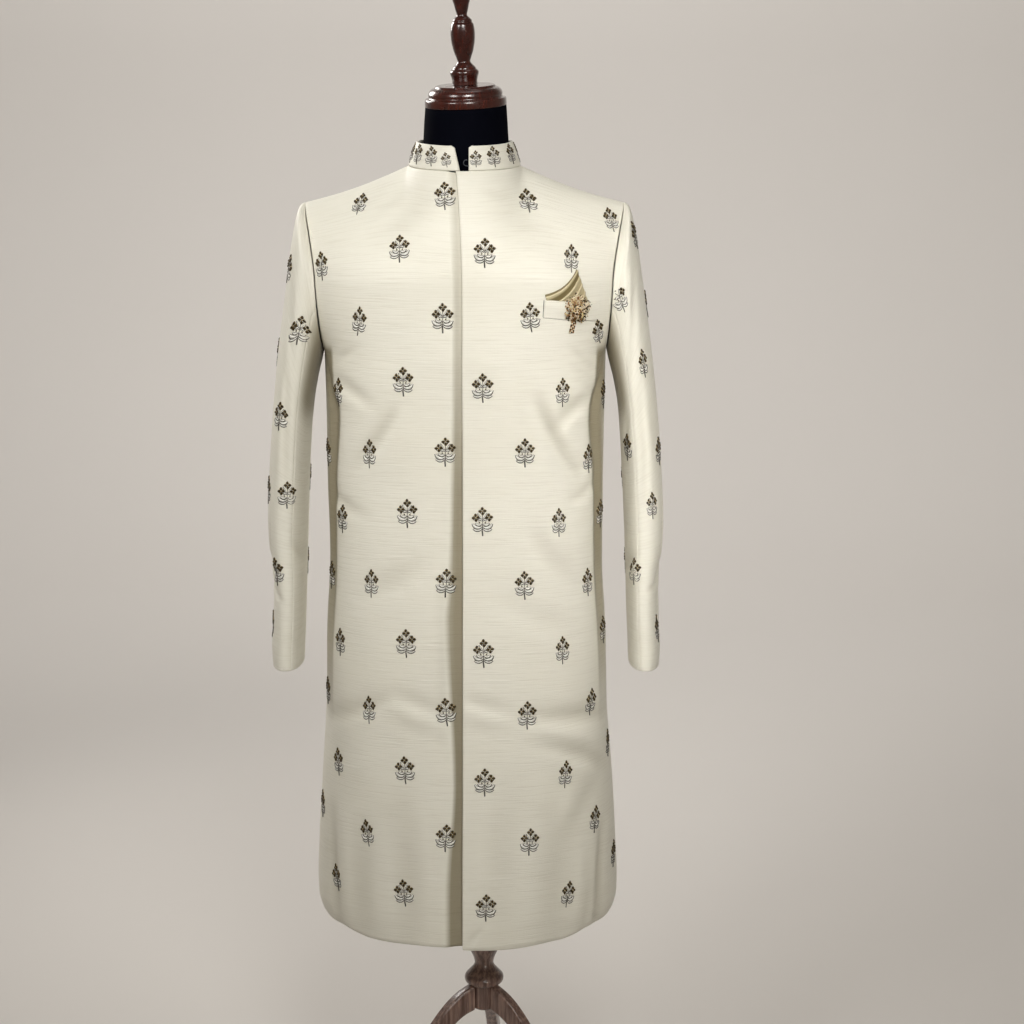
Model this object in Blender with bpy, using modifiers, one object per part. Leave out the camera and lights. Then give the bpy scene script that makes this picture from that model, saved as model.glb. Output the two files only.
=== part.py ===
"""Sherwani coat worn by a limbless dress form on a turned wooden stand.

Metres, +Z up. The floor is z = 0, the front of the coat faces -Y and the wearer's left is +X.
"""
import bisect
import math
from functools import lru_cache
from typing import NamedTuple

import bmesh
import bpy
from mathutils import Euler, Vector

# Cloth
WALL = 0.0016
COLLAR_WALL = 0.0030
SEAM_HALF_GAP = 0.00015
SEAT_GAP = 0.0003

# Heights of the coat
HEM_Z = 0.400
UNDERARM_Z = 1.235
YOKE_Z = 1.330
NECK_FRONT_Z = 1.4825
NECK_SIDE_Z = 1.4860
NECK_BACK_Z = 1.4885
SHOULDER_Z = 1.4358

# Widths and depths of the coat
SHOULDER_X = 0.2186
NECK_X = 0.0765
NECK_FRONT_Y = 0.0750
NECK_BACK_Y = 0.0680
SHOULDER_SAG = 0.0048
ARMHOLE_DEPTH = 0.0750
ARMHOLE_YOKE_X = 0.2012
UNDERLAP = 0.030
UNDERLAP_STEP = 0.0024
UNDERLAP_EASE = 0.009
HEM_DIP = 0.0052
HEM_DIP_X = 0.045
HEM_DIP_WIDTH = 0.080
HEM_SIDE_LIFT = 0.0070
HEM_SIDE_FROM_X = 0.135
HEM_SIDE_TO_X = 0.182

# Rise of the chest and shoulder blades over the yoke level
YOKE_LIFT = 0.050
YOKE_LIFT_SWELL = 0.012
YOKE_LIFT_FALL = 0.014
YOKE_TOP_PULL = 0.036
YOKE_NECK_PULL = 0.008
YOKE_NECK_DROP = 0.018

# Grid of each cloth piece
NECK_COLUMNS = 5
SHOULDER_COLUMNS = 9
BODY_COLUMNS = NECK_COLUMNS + SHOULDER_COLUMNS
NECK_FRACTION = NECK_COLUMNS / BODY_COLUMNS
YOKE_ROWS = 5
ROW_SAMPLES = 64
TOP_EASE = 0.11
TOP_EASE_STEPS = (-2, -1, 0, 1, 2)

# Collar
COLLAR_TOP_X = 0.0655
COLLAR_TOP_FRONT_Y = 0.0700
COLLAR_TOP_BACK_Y = 0.0650
COLLAR_FRONT_HEIGHT = 0.0315
COLLAR_SIDE_HEIGHT = 0.0315
COLLAR_BACK_HEIGHT = 0.0300
COLLAR_BULGE = 0.0012
COLLAR_SEAT = 0.0005
COLLAR_LEFT_FRONT_X = (0.0085, 0.0085)
COLLAR_RIGHT_FRONT_X = (0.0057, 0.0130)
COLLAR_COLUMNS = 14
COLLAR_ROWS = 2

# Hook in the collar's opening
HOOK_WIRE_RADIUS = 0.0006
HOOK_WIRE_CORNERS = 6
HOOK_Y = -0.0730
HOOK_ROUTE = ((0.0079, 1.4890), (0.0040, 1.4888), (0.0012, 1.4900), (0.0002, 1.4925), (0.0008, 1.4955),
              (0.0030, 1.4975), (0.0052, 1.4968))

# Sleeve
SLEEVE_SEAM_ANGLE = 112.0
UPPER_COLUMNS = 11
UNDER_COLUMNS = 6
SLEEVE_SEAM_TRIM = 2.6
ARMHOLE_GAP = 0.0004

# Dress form
FORM_BOTTOM_Z = 0.620
FORM_ROWS = (FORM_BOTTOM_Z, 0.740, 0.880, 1.020, 1.120, 1.202)
FORM_NECK_X = 0.0024
FORM_NECK_Y = -0.004
FORM_NECK_TOP_Z = 1.5655
FORM_NECK_TOP_RADIUS = 0.0552
FORM_SHOULDER_CLEARANCE = 0.0008
FORM_FRONT_CLEARANCE = 0.0080
FORM_HIP_CLEARANCE = 0.030
FORM_EDGE_FRACTION = 0.965
FORM_NECK_SPLIT = 66.0
FORM_NECK_END = 88.0
HEAD_LEAN = math.radians(-2.2)
HEAD_NOD = math.radians(4.0)
TURNED_STEPS = 16

# Stand
POST_X = 0.0235
LEG_HALF_WIDTH = 0.0090
LEG_AZIMUTHS = (("leg_left", 205.0), ("leg_right", 324.0), ("leg_back", 84.0))
LEG_CORNERS = ((-1.0, -0.82), (-0.80, -1.0), (0.80, -1.0), (1.0, -0.82),
               (1.0, 0.82), (0.80, 1.0), (-0.80, 1.0), (-1.0, 0.82))

# Sideways and forward place of everything, which brings the middle of the footprint to the origin
PART_Y = -0.04903


class Ring(NamedTuple):
    """Level section of the coat's body."""

    z: float
    half_width: float
    front: float
    back: float
    squareness: float


BODY_RINGS = (
    Ring(0.400, 0.2100, 0.1400, 0.1380, 2.02),
    Ring(0.438, 0.2190, 0.1410, 0.1400, 2.12),
    Ring(0.520, 0.2165, 0.1395, 0.1390, 2.28),
    Ring(0.630, 0.2090, 0.1365, 0.1375, 2.45),
    Ring(0.722, 0.2023, 0.1325, 0.1360, 2.60),
    Ring(0.846, 0.1982, 0.1280, 0.1330, 2.80),
    Ring(0.930, 0.1931, 0.1240, 0.1260, 2.90),
    Ring(1.054, 0.1934, 0.1210, 0.1170, 2.90),
    Ring(1.147, 0.1939, 0.1250, 0.1190, 2.80),
    Ring(1.202, 0.1948, 0.1285, 0.1230, 2.70),
    Ring(1.235, 0.1955, 0.1300, 0.1250, 2.60),
    Ring(1.330, 0.2012, 0.1280, 0.1260, 2.50),
)
BODY_ROWS = (0.400, 0.414, 0.438, 0.485, 0.550, 0.630, 0.700, 0.770, 0.846, 0.930, 1.000, 1.054,
             1.100, 1.135, 1.165, 1.202)
ARMHOLE_ANGLES = (0, 26, 50, 72, 90)


class EdgePoint(NamedTuple):
    """Place of the overlapping front's free edge, and the sunk strip beside it."""

    z: float
    x: float
    strip: float


FRONT_EDGE = (
    EdgePoint(0.400, -0.0043, 0.023),
    EdgePoint(0.500, -0.0040, 0.022),
    EdgePoint(0.640, -0.0030, 0.012),
    EdgePoint(0.870, -0.0020, 0.024),
    EdgePoint(0.930, -0.0017, 0.019),
    EdgePoint(1.200, -0.0010, 0.012),
    EdgePoint(1.350, -0.0010, 0.010),
    EdgePoint(1.420, -0.0050, 0.009),
    EdgePoint(1.4825, -0.0097, 0.008),
)


class FoldPoint(NamedTuple):
    """Where the side fold of the front crosses a height."""

    z: float
    x: float
    depth: float


SIDE_FOLD = (
    FoldPoint(0.700, 0.1870, 0.0000),
    FoldPoint(0.825, 0.1845, 0.0030),
    FoldPoint(0.930, 0.1780, 0.0040),
    FoldPoint(1.068, 0.1745, 0.0055),
    FoldPoint(1.160, 0.1680, 0.0060),
    FoldPoint(1.194, 0.1780, 0.0045),
    FoldPoint(1.235, 0.1850, 0.0000),
)
SIDE_FOLD_WIDTH = 0.013
SIDE_FOLD_BEHIND = 0.020


class Drag(NamedTuple):
    """Soft slanting trough on the fronts, given by its middle, slant, half length, half width and depth."""

    x: float
    z: float
    slant: float
    length: float
    width: float
    depth: float


FRONT_DRAGS = (
    Drag(0.131, 1.128, -57.0, 0.055, 0.014, 0.0036),
    Drag(0.160, 1.150, 34.0, 0.035, 0.012, 0.0020),
    Drag(0.155, 1.040, 20.0, 0.032, 0.012, 0.0016),
    Drag(0.135, 0.728, 8.0, 0.060, 0.014, 0.0022),
    Drag(0.190, 0.485, 80.0, 0.070, 0.014, 0.0022),
)
BACK_FLUTES = ((0.30, 0.0045), (0.72, 0.0060))
BACK_FLUTE_WIDTH = 0.11
BACK_FLUTE_TOP_Z = 0.900


class Station(NamedTuple):
    """Sleeve section, by its outline points on the outer and the body side."""

    outer_x: float
    outer_z: float
    inner_x: float
    inner_z: float
    y: float
    half_depth: float


SLEEVE_STATIONS = (
    Station(0.2258, 1.4300, 0.1972, 1.2290, -0.0010, 0.0775),
    Station(0.2318, 1.4100, 0.1998, 1.2175, -0.0020, 0.0790),
    Station(0.2380, 1.3750, 0.2035, 1.2030, -0.0020, 0.0795),
    Station(0.2455, 1.3250, 0.2080, 1.1820, -0.0020, 0.0785),
    Station(0.2540, 1.2680, 0.2120, 1.1590, -0.0020, 0.0765),
    Station(0.2620, 1.2050, 0.2157, 1.1280, -0.0020, 0.0745),
    Station(0.2690, 1.1380, 0.2189, 1.0860, -0.0020, 0.0722),
    Station(0.2750, 1.0690, 0.2213, 1.0380, -0.0020, 0.0700),
    Station(0.2788, 1.0000, 0.2235, 0.9830, -0.0035, 0.0685),
    Station(0.2765, 0.9520, 0.2252, 0.9430, -0.0075, 0.0665),
    Station(0.2716, 0.9250, 0.2260, 0.9190, -0.0115, 0.0650),
    Station(0.2708, 0.8950, 0.2271, 0.8920, -0.0165, 0.0635),
    Station(0.2722, 0.8510, 0.2284, 0.8500, -0.0240, 0.0610),
    Station(0.2745, 0.8200, 0.2297, 0.8190, -0.0295, 0.0590),
    Station(0.2735, 0.7930, 0.2305, 0.7930, -0.0340, 0.0572),
)
SLEEVE_SQUARENESS = 2.25


class NeckRow(NamedTuple):
    """Level section of the form's neck."""

    z: float
    half_width: float
    half_depth: float


FORM_NECK_ROWS = (
    NeckRow(1.4760, 0.0618, 0.0590),
    NeckRow(1.4950, 0.0592, 0.0575),
    NeckRow(1.5200, 0.0580, 0.0570),
    NeckRow(1.5450, 0.0566, 0.0562),
)


class LegStation(NamedTuple):
    """Middle of a leg's section, its half height and how far it faces down."""

    reach: float
    z: float
    half_height: float
    facing: float


LEG_STATIONS = (
    LegStation(0.0190, 0.2630, 0.0195, 0.0),
    LegStation(0.0385, 0.2545, 0.0168, 22.0),
    LegStation(0.0590, 0.2385, 0.0144, 39.0),
    LegStation(0.0810, 0.2130, 0.0132, 49.0),
    LegStation(0.1050, 0.1800, 0.0126, 54.0),
    LegStation(0.1300, 0.1430, 0.0122, 56.0),
    LegStation(0.1560, 0.1050, 0.0118, 55.0),
    LegStation(0.1830, 0.0695, 0.0114, 50.0),
    LegStation(0.2110, 0.0410, 0.0110, 44.0),
    LegStation(0.2360, 0.0180, 0.0112, 62.0),
    LegStation(0.2420, 0.0000, 0.0120, 90.0),
)

# Turned profiles, as radius and height above the piece's foot, listed from the top down
CAP_PROFILE = ((0.0, 0.0278), (0.0402, 0.0278), (0.0408, 0.0262), (0.0418, 0.0248), (0.0456, 0.0236),
               (0.0490, 0.0206), (0.0506, 0.0162), (0.0500, 0.0130), (0.0512, 0.0112), (0.0553, 0.0105),
               (0.0556, 0.0010), (0.0550, 0.0), (0.0, 0.0))
FINIAL_PROFILE = ((0.0, 0.1342), (0.0035, 0.1327), (0.0060, 0.1287), (0.0100, 0.1247), (0.0122, 0.1192),
                  (0.0122, 0.1122), (0.0098, 0.1047), (0.0088, 0.0997), (0.0064, 0.0917), (0.0105, 0.0882),
                  (0.0132, 0.0852), (0.0128, 0.0832), (0.0152, 0.0802), (0.0167, 0.0697), (0.0160, 0.0572),
                  (0.0135, 0.0452), (0.0095, 0.0342), (0.0084, 0.0307), (0.0118, 0.0267), (0.0156, 0.0232),
                  (0.0158, 0.0214), (0.0192, 0.0187), (0.0198, 0.0157), (0.0178, 0.0097), (0.0168, 0.0050),
                  (0.0172, 0.0012), (0.0172, 0.0), (0.0, 0.0))
POST_PROFILE = ((0.0, 0.6197), (0.0300, 0.6197), (0.0300, 0.6120), (0.0150, 0.6080), (0.0150, 0.4000),
                (0.0190, 0.3900), (0.0240, 0.3760), (0.0250, 0.3640), (0.0236, 0.3480), (0.0204, 0.3355),
                (0.0155, 0.3240), (0.0135, 0.3150), (0.0165, 0.3085), (0.0225, 0.3020), (0.0280, 0.2960),
                (0.0290, 0.2920), (0.0284, 0.2875), (0.0250, 0.2840), (0.0190, 0.2828), (0.0185, 0.2800),
                (0.0185, 0.2470), (0.0160, 0.2440), (0.0, 0.2440))

# Breast pocket, square and brooch, on the wearer's left front
WELT_X = (0.1078, 0.1780)
WELT_TOP_Z = (1.3163, 1.3090)
WELT_BOTTOM_Z = (1.2935, 1.2828)
WELT_WALL = 0.0015
WELT_STAND_OFF = 0.0028
WELT_COLUMNS = 8
WELT_ROWS = 4
SQUARE_WALL = 0.0012
SQUARE_X = (0.1095, 0.1650)
SQUARE_PEAK = (0.1472, 0.0388)
SQUARE_LEFT_RISE = 0.0085
SQUARE_RIGHT_FALL = 0.72
SQUARE_LEAN = 0.22
SQUARE_TUCK = 0.0040
SQUARE_SEAT = SEAT_GAP + 0.0002
SQUARE_PLEATS = 4
SQUARE_PLEAT_HEIGHT = 0.0012
SQUARE_COLUMNS = 16
SQUARE_ROWS = 6
BROOCH_MIDDLE = (0.1474, 1.2972)
BROOCH_HALF_SIZE = (0.0175, 0.0262)
BROOCH_LOBES = 9
BROOCH_HEIGHT = 0.0050
BROOCH_SEAT = WELT_STAND_OFF + WELT_WALL + 2.5 * SEAT_GAP


def smoothstep(low, high, value):
    """Ease from 0 to 1 as the value goes from low to high."""
    share = min(max((value - low) / (high - low), 0.0), 1.0)
    return share * share * (3.0 - 2.0 * share)


def column_at(rows, column, z):
    """Named column of a table at height z, on a smooth curve through its rows."""
    heights = [row.z for row in rows]
    values = [getattr(row, column) for row in rows]
    z = min(max(z, heights[0]), heights[-1])
    low = min(max(bisect.bisect_right(heights, z) - 1, 0), len(rows) - 2)
    high = low + 1

    def slope(index):
        before = max(index - 1, 0)
        after = min(index + 1, len(rows) - 1)
        return (values[after] - values[before]) / (heights[after] - heights[before])

    span = heights[high] - heights[low]
    share = (z - heights[low]) / span
    square, cube = share * share, share ** 3
    return (values[low] * (2 * cube - 3 * square + 1) + slope(low) * span * (cube - 2 * square + share)
            + values[high] * (3 * square - 2 * cube) + slope(high) * span * (cube - square))


def signed_power(value, power):
    """Power that keeps the sign."""
    return math.copysign(abs(value) ** power, value)


def section_edge(z):
    """Side seam or armhole point of a level section, as x and the distance in y from the seam plane."""
    if z <= UNDERARM_Z:
        return column_at(BODY_RINGS, "half_width", z), 0.0
    lift = (YOKE_Z - z) / (YOKE_Z - UNDERARM_Z)
    side_x = column_at(BODY_RINGS, "half_width", UNDERARM_Z)
    return (ARMHOLE_YOKE_X + (side_x - ARMHOLE_YOKE_X) * lift,
            ARMHOLE_DEPTH * math.sqrt(max(1.0 - lift * lift, 0.0)))


@lru_cache(maxsize=None)
def section_line(side, z):
    """Level section from the middle line to its edge, as points with their distance along it."""
    depth = column_at(BODY_RINGS, side, z)
    power = column_at(BODY_RINGS, "squareness", z)
    edge_x, edge_y = section_edge(z)
    edge_share = (edge_y / depth) ** power
    half_width = edge_x / (1.0 - edge_share) ** (1.0 / power)
    last_angle = math.acos(min(edge_share ** 0.5, 1.0))
    facing = -1.0 if side == "front" else 1.0
    points = []
    for index in range(ROW_SAMPLES + 1):
        angle = last_angle * index / ROW_SAMPLES
        points.append(Vector((half_width * math.sin(angle) ** (2.0 / power),
                              facing * depth * max(math.cos(angle), 0.0) ** (2.0 / power), z)))
    lengths = [0.0]
    for before, after in zip(points, points[1:]):
        lengths.append(lengths[-1] + (after - before).length)
    return points, lengths


def section_point(side, z, fraction):
    """Point at a fraction of a level section's length; a negative fraction lies past the middle line."""
    points, lengths = section_line(side, z)
    target = abs(fraction) * lengths[-1]
    index = min(max(bisect.bisect_right(lengths, target) - 1, 0), ROW_SAMPLES - 1)
    share = (target - lengths[index]) / (lengths[index + 1] - lengths[index])
    point = points[index].lerp(points[index + 1], share)
    if fraction < 0:
        point.x = -point.x
    return point


def fraction_at_x(side, z, x):
    """Fraction of a level section's length at which it crosses x."""
    points, lengths = section_line(side, z)
    index = min(max(bisect.bisect_right([p.x for p in points], abs(x)) - 1, 0), ROW_SAMPLES - 1)
    step = points[index + 1].x - points[index].x
    share = min((abs(x) - points[index].x) / step, 1.0)
    length = lengths[index] + share * (lengths[index + 1] - lengths[index])
    return math.copysign(length / lengths[-1], x)


def neck_point(side, angle):
    """Point of the neckline, from the middle line at 0 to the side of the neck at a right angle."""
    depth = -NECK_FRONT_Y if side == "front" else NECK_BACK_Y
    middle_z = NECK_FRONT_Z if side == "front" else NECK_BACK_Z
    return Vector((NECK_X * math.sin(angle), depth * math.cos(angle),
                   NECK_SIDE_Z + (middle_z - NECK_SIDE_Z) * math.cos(angle)))


def top_point(side, fraction):
    """Point of the neckline and shoulder seam that a column of the body ends at."""
    share = abs(fraction)
    if share <= NECK_FRACTION:
        point = neck_point(side, math.pi / 2 * share / NECK_FRACTION)
    else:
        along = (share - NECK_FRACTION) / (1.0 - NECK_FRACTION)
        point = Vector((NECK_X + (SHOULDER_X - NECK_X) * along, 0.0,
                        NECK_SIDE_Z + (SHOULDER_Z - NECK_SIDE_Z) * along
                        - SHOULDER_SAG * math.sin(math.pi * along)))
    if fraction < 0:
        point.x = -point.x
    return point


def yoke_point(side, rise, fraction):
    """Point of the chest or shoulder blade surface between the yoke level and the top edge."""
    facing = -1.0 if side == "front" else 1.0
    start = section_point(side, YOKE_Z, fraction)
    end = top_point(side, fraction)
    share = min(abs(fraction), 1.0)
    lift = YOKE_LIFT + YOKE_LIFT_SWELL * math.sin(math.pi * share) - YOKE_LIFT_FALL * share
    first = start + Vector((0.0, 0.0, lift))
    second = Vector((0.0, 0.0, 0.0))
    for step in TOP_EASE_STEPS:
        near = min(max(fraction + step * TOP_EASE * (1.0 - share), -1.0), 1.0)
        neck_share = 1.0 - smoothstep(0.0, 1.6 * NECK_FRACTION, abs(near))
        pull = Vector((0.0, facing * (YOKE_TOP_PULL - YOKE_NECK_PULL * neck_share), -YOKE_NECK_DROP * neck_share))
        second += (top_point(side, near) + pull) / len(TOP_EASE_STEPS)
    fall = 1.0 - rise
    return (start * fall ** 3 + first * (3 * fall * fall * rise) + second * (3 * fall * rise * rise)
            + end * rise ** 3)


def body_levels():
    """Levels of the body's rows: level sections first, then the rows of the yoke."""
    levels = [("section", z) for z in BODY_ROWS]
    for angle in ARMHOLE_ANGLES:
        turn = math.radians(angle)
        levels.append(("section", YOKE_Z - (YOKE_Z - UNDERARM_Z) * math.cos(turn)))
    levels += [("yoke", row / YOKE_ROWS) for row in range(1, YOKE_ROWS + 1)]
    return levels


def body_point(side, level, fraction):
    """Point of the plain body surface on a level."""
    kind, value = level
    if kind == "section":
        return section_point(side, value, fraction)
    return yoke_point(side, value, fraction)


def level_length(side, level):
    """Length of a level from the middle line to its edge."""
    z = level[1] if level[0] == "section" else YOKE_Z
    return section_line(side, z)[1][-1]


def body_normal(side, levels, row, fraction):
    """Outward direction of the body surface at a grid point."""
    step = 0.012
    before = body_point(side, levels[row], max(fraction - step, -0.98))
    after = body_point(side, levels[row], min(fraction + step, 1.0))
    below = body_point(side, levels[max(row - 1, 0)], fraction)
    above = body_point(side, levels[min(row + 1, len(levels) - 1)], fraction)
    normal = (after - before).cross(above - below)
    if side == "back":
        normal.negate()
    on_side_seam = abs(fraction) > 0.999 and levels[row][0] == "section" and levels[row][1] <= UNDERARM_Z
    on_shoulder_seam = levels[row] == ("yoke", 1.0) and abs(fraction) >= NECK_FRACTION
    if on_side_seam or on_shoulder_seam:
        normal.y = 0.0
    if side == "back" and abs(fraction) < 0.01:
        normal.x = 0.0
    return normal.normalized()


def fold_depth(side, level, fraction):
    """Inward depth of the large folds on the plain body surface."""
    if level[0] != "section" or fraction < 0:
        return 0.0
    z = level[1]
    length = level_length(side, level)
    if side == "back":
        reach = 1.0 - smoothstep(HEM_Z, BACK_FLUTE_TOP_Z, z)
        return sum(reach * depth * math.exp(-((fraction - middle) / BACK_FLUTE_WIDTH) ** 2)
                   for middle, depth in BACK_FLUTES)
    depth = 0.0
    if SIDE_FOLD[0].z < z < SIDE_FOLD[-1].z:
        crest = fraction_at_x(side, z, column_at(SIDE_FOLD, "x", z)) * length
        behind = (fraction * length - crest - SIDE_FOLD_BEHIND) / SIDE_FOLD_WIDTH
        depth += column_at(SIDE_FOLD, "depth", z) * math.exp(-behind * behind)
    x = section_point(side, z, fraction).x
    for drag in FRONT_DRAGS:
        turn = math.radians(drag.slant)
        along = (x - drag.x) * math.cos(turn) + (z - drag.z) * math.sin(turn)
        across = (z - drag.z) * math.cos(turn) - (x - drag.x) * math.sin(turn)
        depth += drag.depth * math.exp(-(along / drag.length) ** 2 - (across / drag.width) ** 2)
    return depth


def front_height(level):
    """Height at the middle line that the front edge's table is read at."""
    if level[0] == "section":
        return level[1]
    return YOKE_Z + (NECK_FRONT_Z - YOKE_Z) * level[1]


def mirrored(grid):
    """Grid of points on the other side of the middle plane."""
    return [[Vector((-point.x, point.y, point.z)) for point in row] for row in grid]


def body_grid(side, columns_of, sink_of=None, dip=0.0):
    """Outer and inner grids of a body panel, from the columns and sink of each level and its hem's dip."""
    levels = body_levels()
    outer, inner = [], []
    for row, level in enumerate(levels):
        outer_row, inner_row = [], []
        for fraction in columns_of(level):
            point = body_point(side, level, fraction)
            normal = body_normal(side, levels, row, fraction)
            sink = fold_depth(side, level, fraction)
            if sink_of:
                sink += sink_of(level, fraction)
            facing = -1.0 if side == "front" else 1.0
            if level == ("yoke", 1.0) and abs(fraction) >= NECK_FRACTION:
                point = point + Vector((0.0, facing * SEAM_HALF_GAP, 0.0))
            if row == 0:
                point = point + Vector((0.0, 0.0, hem_rise(point.x, dip)))
            outer_row.append(point - normal * sink)
            inner_row.append(point - normal * (sink + WALL))
        outer.append(outer_row)
        inner.append(inner_row)
    return outer, inner


def side_limit(side, level):
    """Last fraction of a level, a half seam gap short of its edge."""
    return 1.0 - SEAM_HALF_GAP / level_length(side, level)


def stretched_columns(first, last):
    """Columns of a body panel, with one that ends at the side of the neck."""
    columns = [first + (NECK_FRACTION - first) * index / NECK_COLUMNS for index in range(NECK_COLUMNS)]
    columns += [NECK_FRACTION + (last - NECK_FRACTION) * index / SHOULDER_COLUMNS
                for index in range(SHOULDER_COLUMNS + 1)]
    return columns


def fraction_on_level(level, x):
    """Fraction of a front level at which it crosses a place near the middle."""
    low, high = -NECK_FRACTION, NECK_FRACTION
    for _ in range(24):
        middle = (low + high) / 2
        if body_point("front", level, middle).x < x:
            low = middle
        else:
            high = middle
    return (low + high) / 2


def overlapping_columns(level):
    """Columns of the wearer's left front, from its free edge to the side."""
    edge = fraction_on_level(level, column_at(FRONT_EDGE, "x", front_height(level)))
    return stretched_columns(edge, side_limit("front", level))


def hem_rise(x, dip):
    """How far the hem lies over its plain level: up at the side, and down by a panel's dip beside its free edge."""
    side = HEM_SIDE_LIFT * smoothstep(HEM_SIDE_FROM_X, HEM_SIDE_TO_X, x)
    return side - dip * math.exp(-((x - HEM_DIP_X) / HEM_DIP_WIDTH) ** 2)


def underlying_columns(level):
    """Columns of the wearer's right front: under the other front, its sunk strip, then to the side."""
    height = front_height(level)
    edge = -column_at(FRONT_EDGE, "x", height)
    strip = edge + column_at(FRONT_EDGE, "strip", height)
    lap = UNDERLAP * (1.0 - 0.35 * smoothstep(YOKE_Z, NECK_FRONT_Z, height))
    places = (edge - lap, edge, strip, strip + UNDERLAP_EASE)
    columns = [fraction_on_level(level, x) for x in places]
    return columns + stretched_columns(columns[-1] + 0.03, side_limit("front", level))[1:]


def underlying_sink(level, fraction):
    """How far the wearer's right front lies under the plain surface beside and below the overlap."""
    height = front_height(level)
    strip = column_at(FRONT_EDGE, "strip", height) - column_at(FRONT_EDGE, "x", height)
    x = body_point("front", level, fraction).x
    return UNDERLAP_STEP * (1.0 - smoothstep(strip, strip + UNDERLAP_EASE, x))


def back_columns(level):
    """Columns of a back panel, from the middle seam to the side."""
    return stretched_columns(SEAM_HALF_GAP / level_length("back", level), side_limit("back", level))


def mesh_object(name, vertices, faces, material, collection):
    """Object from points and faces, facing out, in the collection."""
    mesh = bpy.data.meshes.new(name)
    mesh.from_pydata([tuple(vertex) for vertex in vertices], [], faces)
    working = bmesh.new()
    working.from_mesh(mesh)
    bmesh.ops.recalc_face_normals(working, faces=working.faces)
    working.to_mesh(mesh)
    working.free()
    mesh.materials.append(material)
    mesh.shade_smooth()
    mesh.set_sharp_from_angle(angle=math.radians(40))
    piece = bpy.data.objects.new(name, mesh)
    collection.objects.link(piece)
    return piece


def cloth_wall(name, outer, inner, material, collection):
    """Closed wall between an outer and an inner grid of the same rows and columns."""
    rows, columns = len(outer), len(outer[0])
    vertices = [point for grid in (outer, inner) for row in grid for point in row]
    offset = rows * columns
    faces = []
    for row in range(rows - 1):
        for column in range(columns - 1):
            first = row * columns + column
            quad = (first, first + 1, first + columns + 1, first + columns)
            faces.append(quad)
            faces.append(tuple(index + offset for index in reversed(quad)))
    border = list(range(columns))
    border += [row * columns + columns - 1 for row in range(1, rows)]
    border += [(rows - 1) * columns + column for column in range(columns - 2, -1, -1)]
    border += [row * columns for row in range(rows - 2, 0, -1)]
    for start, end in zip(border, border[1:] + border[:1]):
        faces.append((start, start + offset, end + offset, end))
    return mesh_object(name, vertices, faces, material, collection)


def closed_loft(name, loops, material, collection):
    """Closed body through loops of as many points each, with flat ends."""
    count = len(loops[0])
    vertices = [point for loop in loops for point in loop]
    faces = []
    for row in range(len(loops) - 1):
        for index in range(count):
            after = (index + 1) % count
            faces.append((row * count + index, row * count + after,
                          (row + 1) * count + after, (row + 1) * count + index))
    faces.append(tuple(range(count - 1, -1, -1)))
    faces.append(tuple((len(loops) - 1) * count + index for index in range(count)))
    return mesh_object(name, vertices, faces, material, collection)


def turned(name, profile, material, collection, place, rotation=(0.0, 0.0, 0.0)):
    """Turned piece from a profile of radius and height, with a Screw modifier."""
    mesh = bpy.data.meshes.new(name)
    edges = [(index, index + 1) for index in range(len(profile) - 1)]
    mesh.from_pydata([(radius, 0.0, height) for radius, height in profile], edges, [])
    mesh.materials.append(material)
    piece = bpy.data.objects.new(name, mesh)
    collection.objects.link(piece)
    piece.location = place
    piece.rotation_euler = rotation
    screw = piece.modifiers.new("turn", "SCREW")
    screw.axis = "Z"
    screw.steps = TURNED_STEPS
    screw.render_steps = TURNED_STEPS
    screw.use_merge_vertices = True
    screw.merge_threshold = 0.00005
    screw.use_smooth_shade = True
    return piece


def make_material(name, colour, roughness, metallic=0.0):
    """Plain Principled material."""
    material = bpy.data.materials.new(name)
    material.use_nodes = True
    shader = material.node_tree.nodes["Principled BSDF"]
    shader.inputs["Base Color"].default_value = (*colour, 1.0)
    shader.inputs["Roughness"].default_value = roughness
    shader.inputs["Metallic"].default_value = metallic
    return material


def build_body(cloth, collection):
    """Two fronts and two backs of the coat."""
    outer, inner = body_grid("front", overlapping_columns, dip=HEM_DIP)
    cloth_wall("front_left", outer, inner, cloth, collection)
    outer, inner = body_grid("front", underlying_columns, underlying_sink)
    cloth_wall("front_right", mirrored(outer), mirrored(inner), cloth, collection)
    outer, inner = body_grid("back", back_columns)
    cloth_wall("back_left", outer, inner, cloth, collection)
    cloth_wall("back_right", mirrored(outer), mirrored(inner), cloth, collection)


def collar_point(angle, height_share):
    """Outer point of the stand collar, by the angle round from the front and the share of its height."""
    side = "front" if angle <= math.pi / 2 else "back"
    turn = angle if side == "front" else math.pi - angle
    base = neck_point(side, turn)
    top_y = -COLLAR_TOP_FRONT_Y if side == "front" else COLLAR_TOP_BACK_Y
    middle_height = COLLAR_FRONT_HEIGHT if side == "front" else COLLAR_BACK_HEIGHT
    height = COLLAR_SIDE_HEIGHT + (middle_height - COLLAR_SIDE_HEIGHT) * math.cos(turn)
    top = Vector((COLLAR_TOP_X * math.sin(turn), top_y * math.cos(turn), base.z + height))
    point = base.lerp(top, height_share)
    bulge = COLLAR_BULGE * math.sin(math.pi * height_share)
    return point + Vector((math.sin(turn), math.copysign(math.cos(turn), top_y), 0.0)) * bulge


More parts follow.
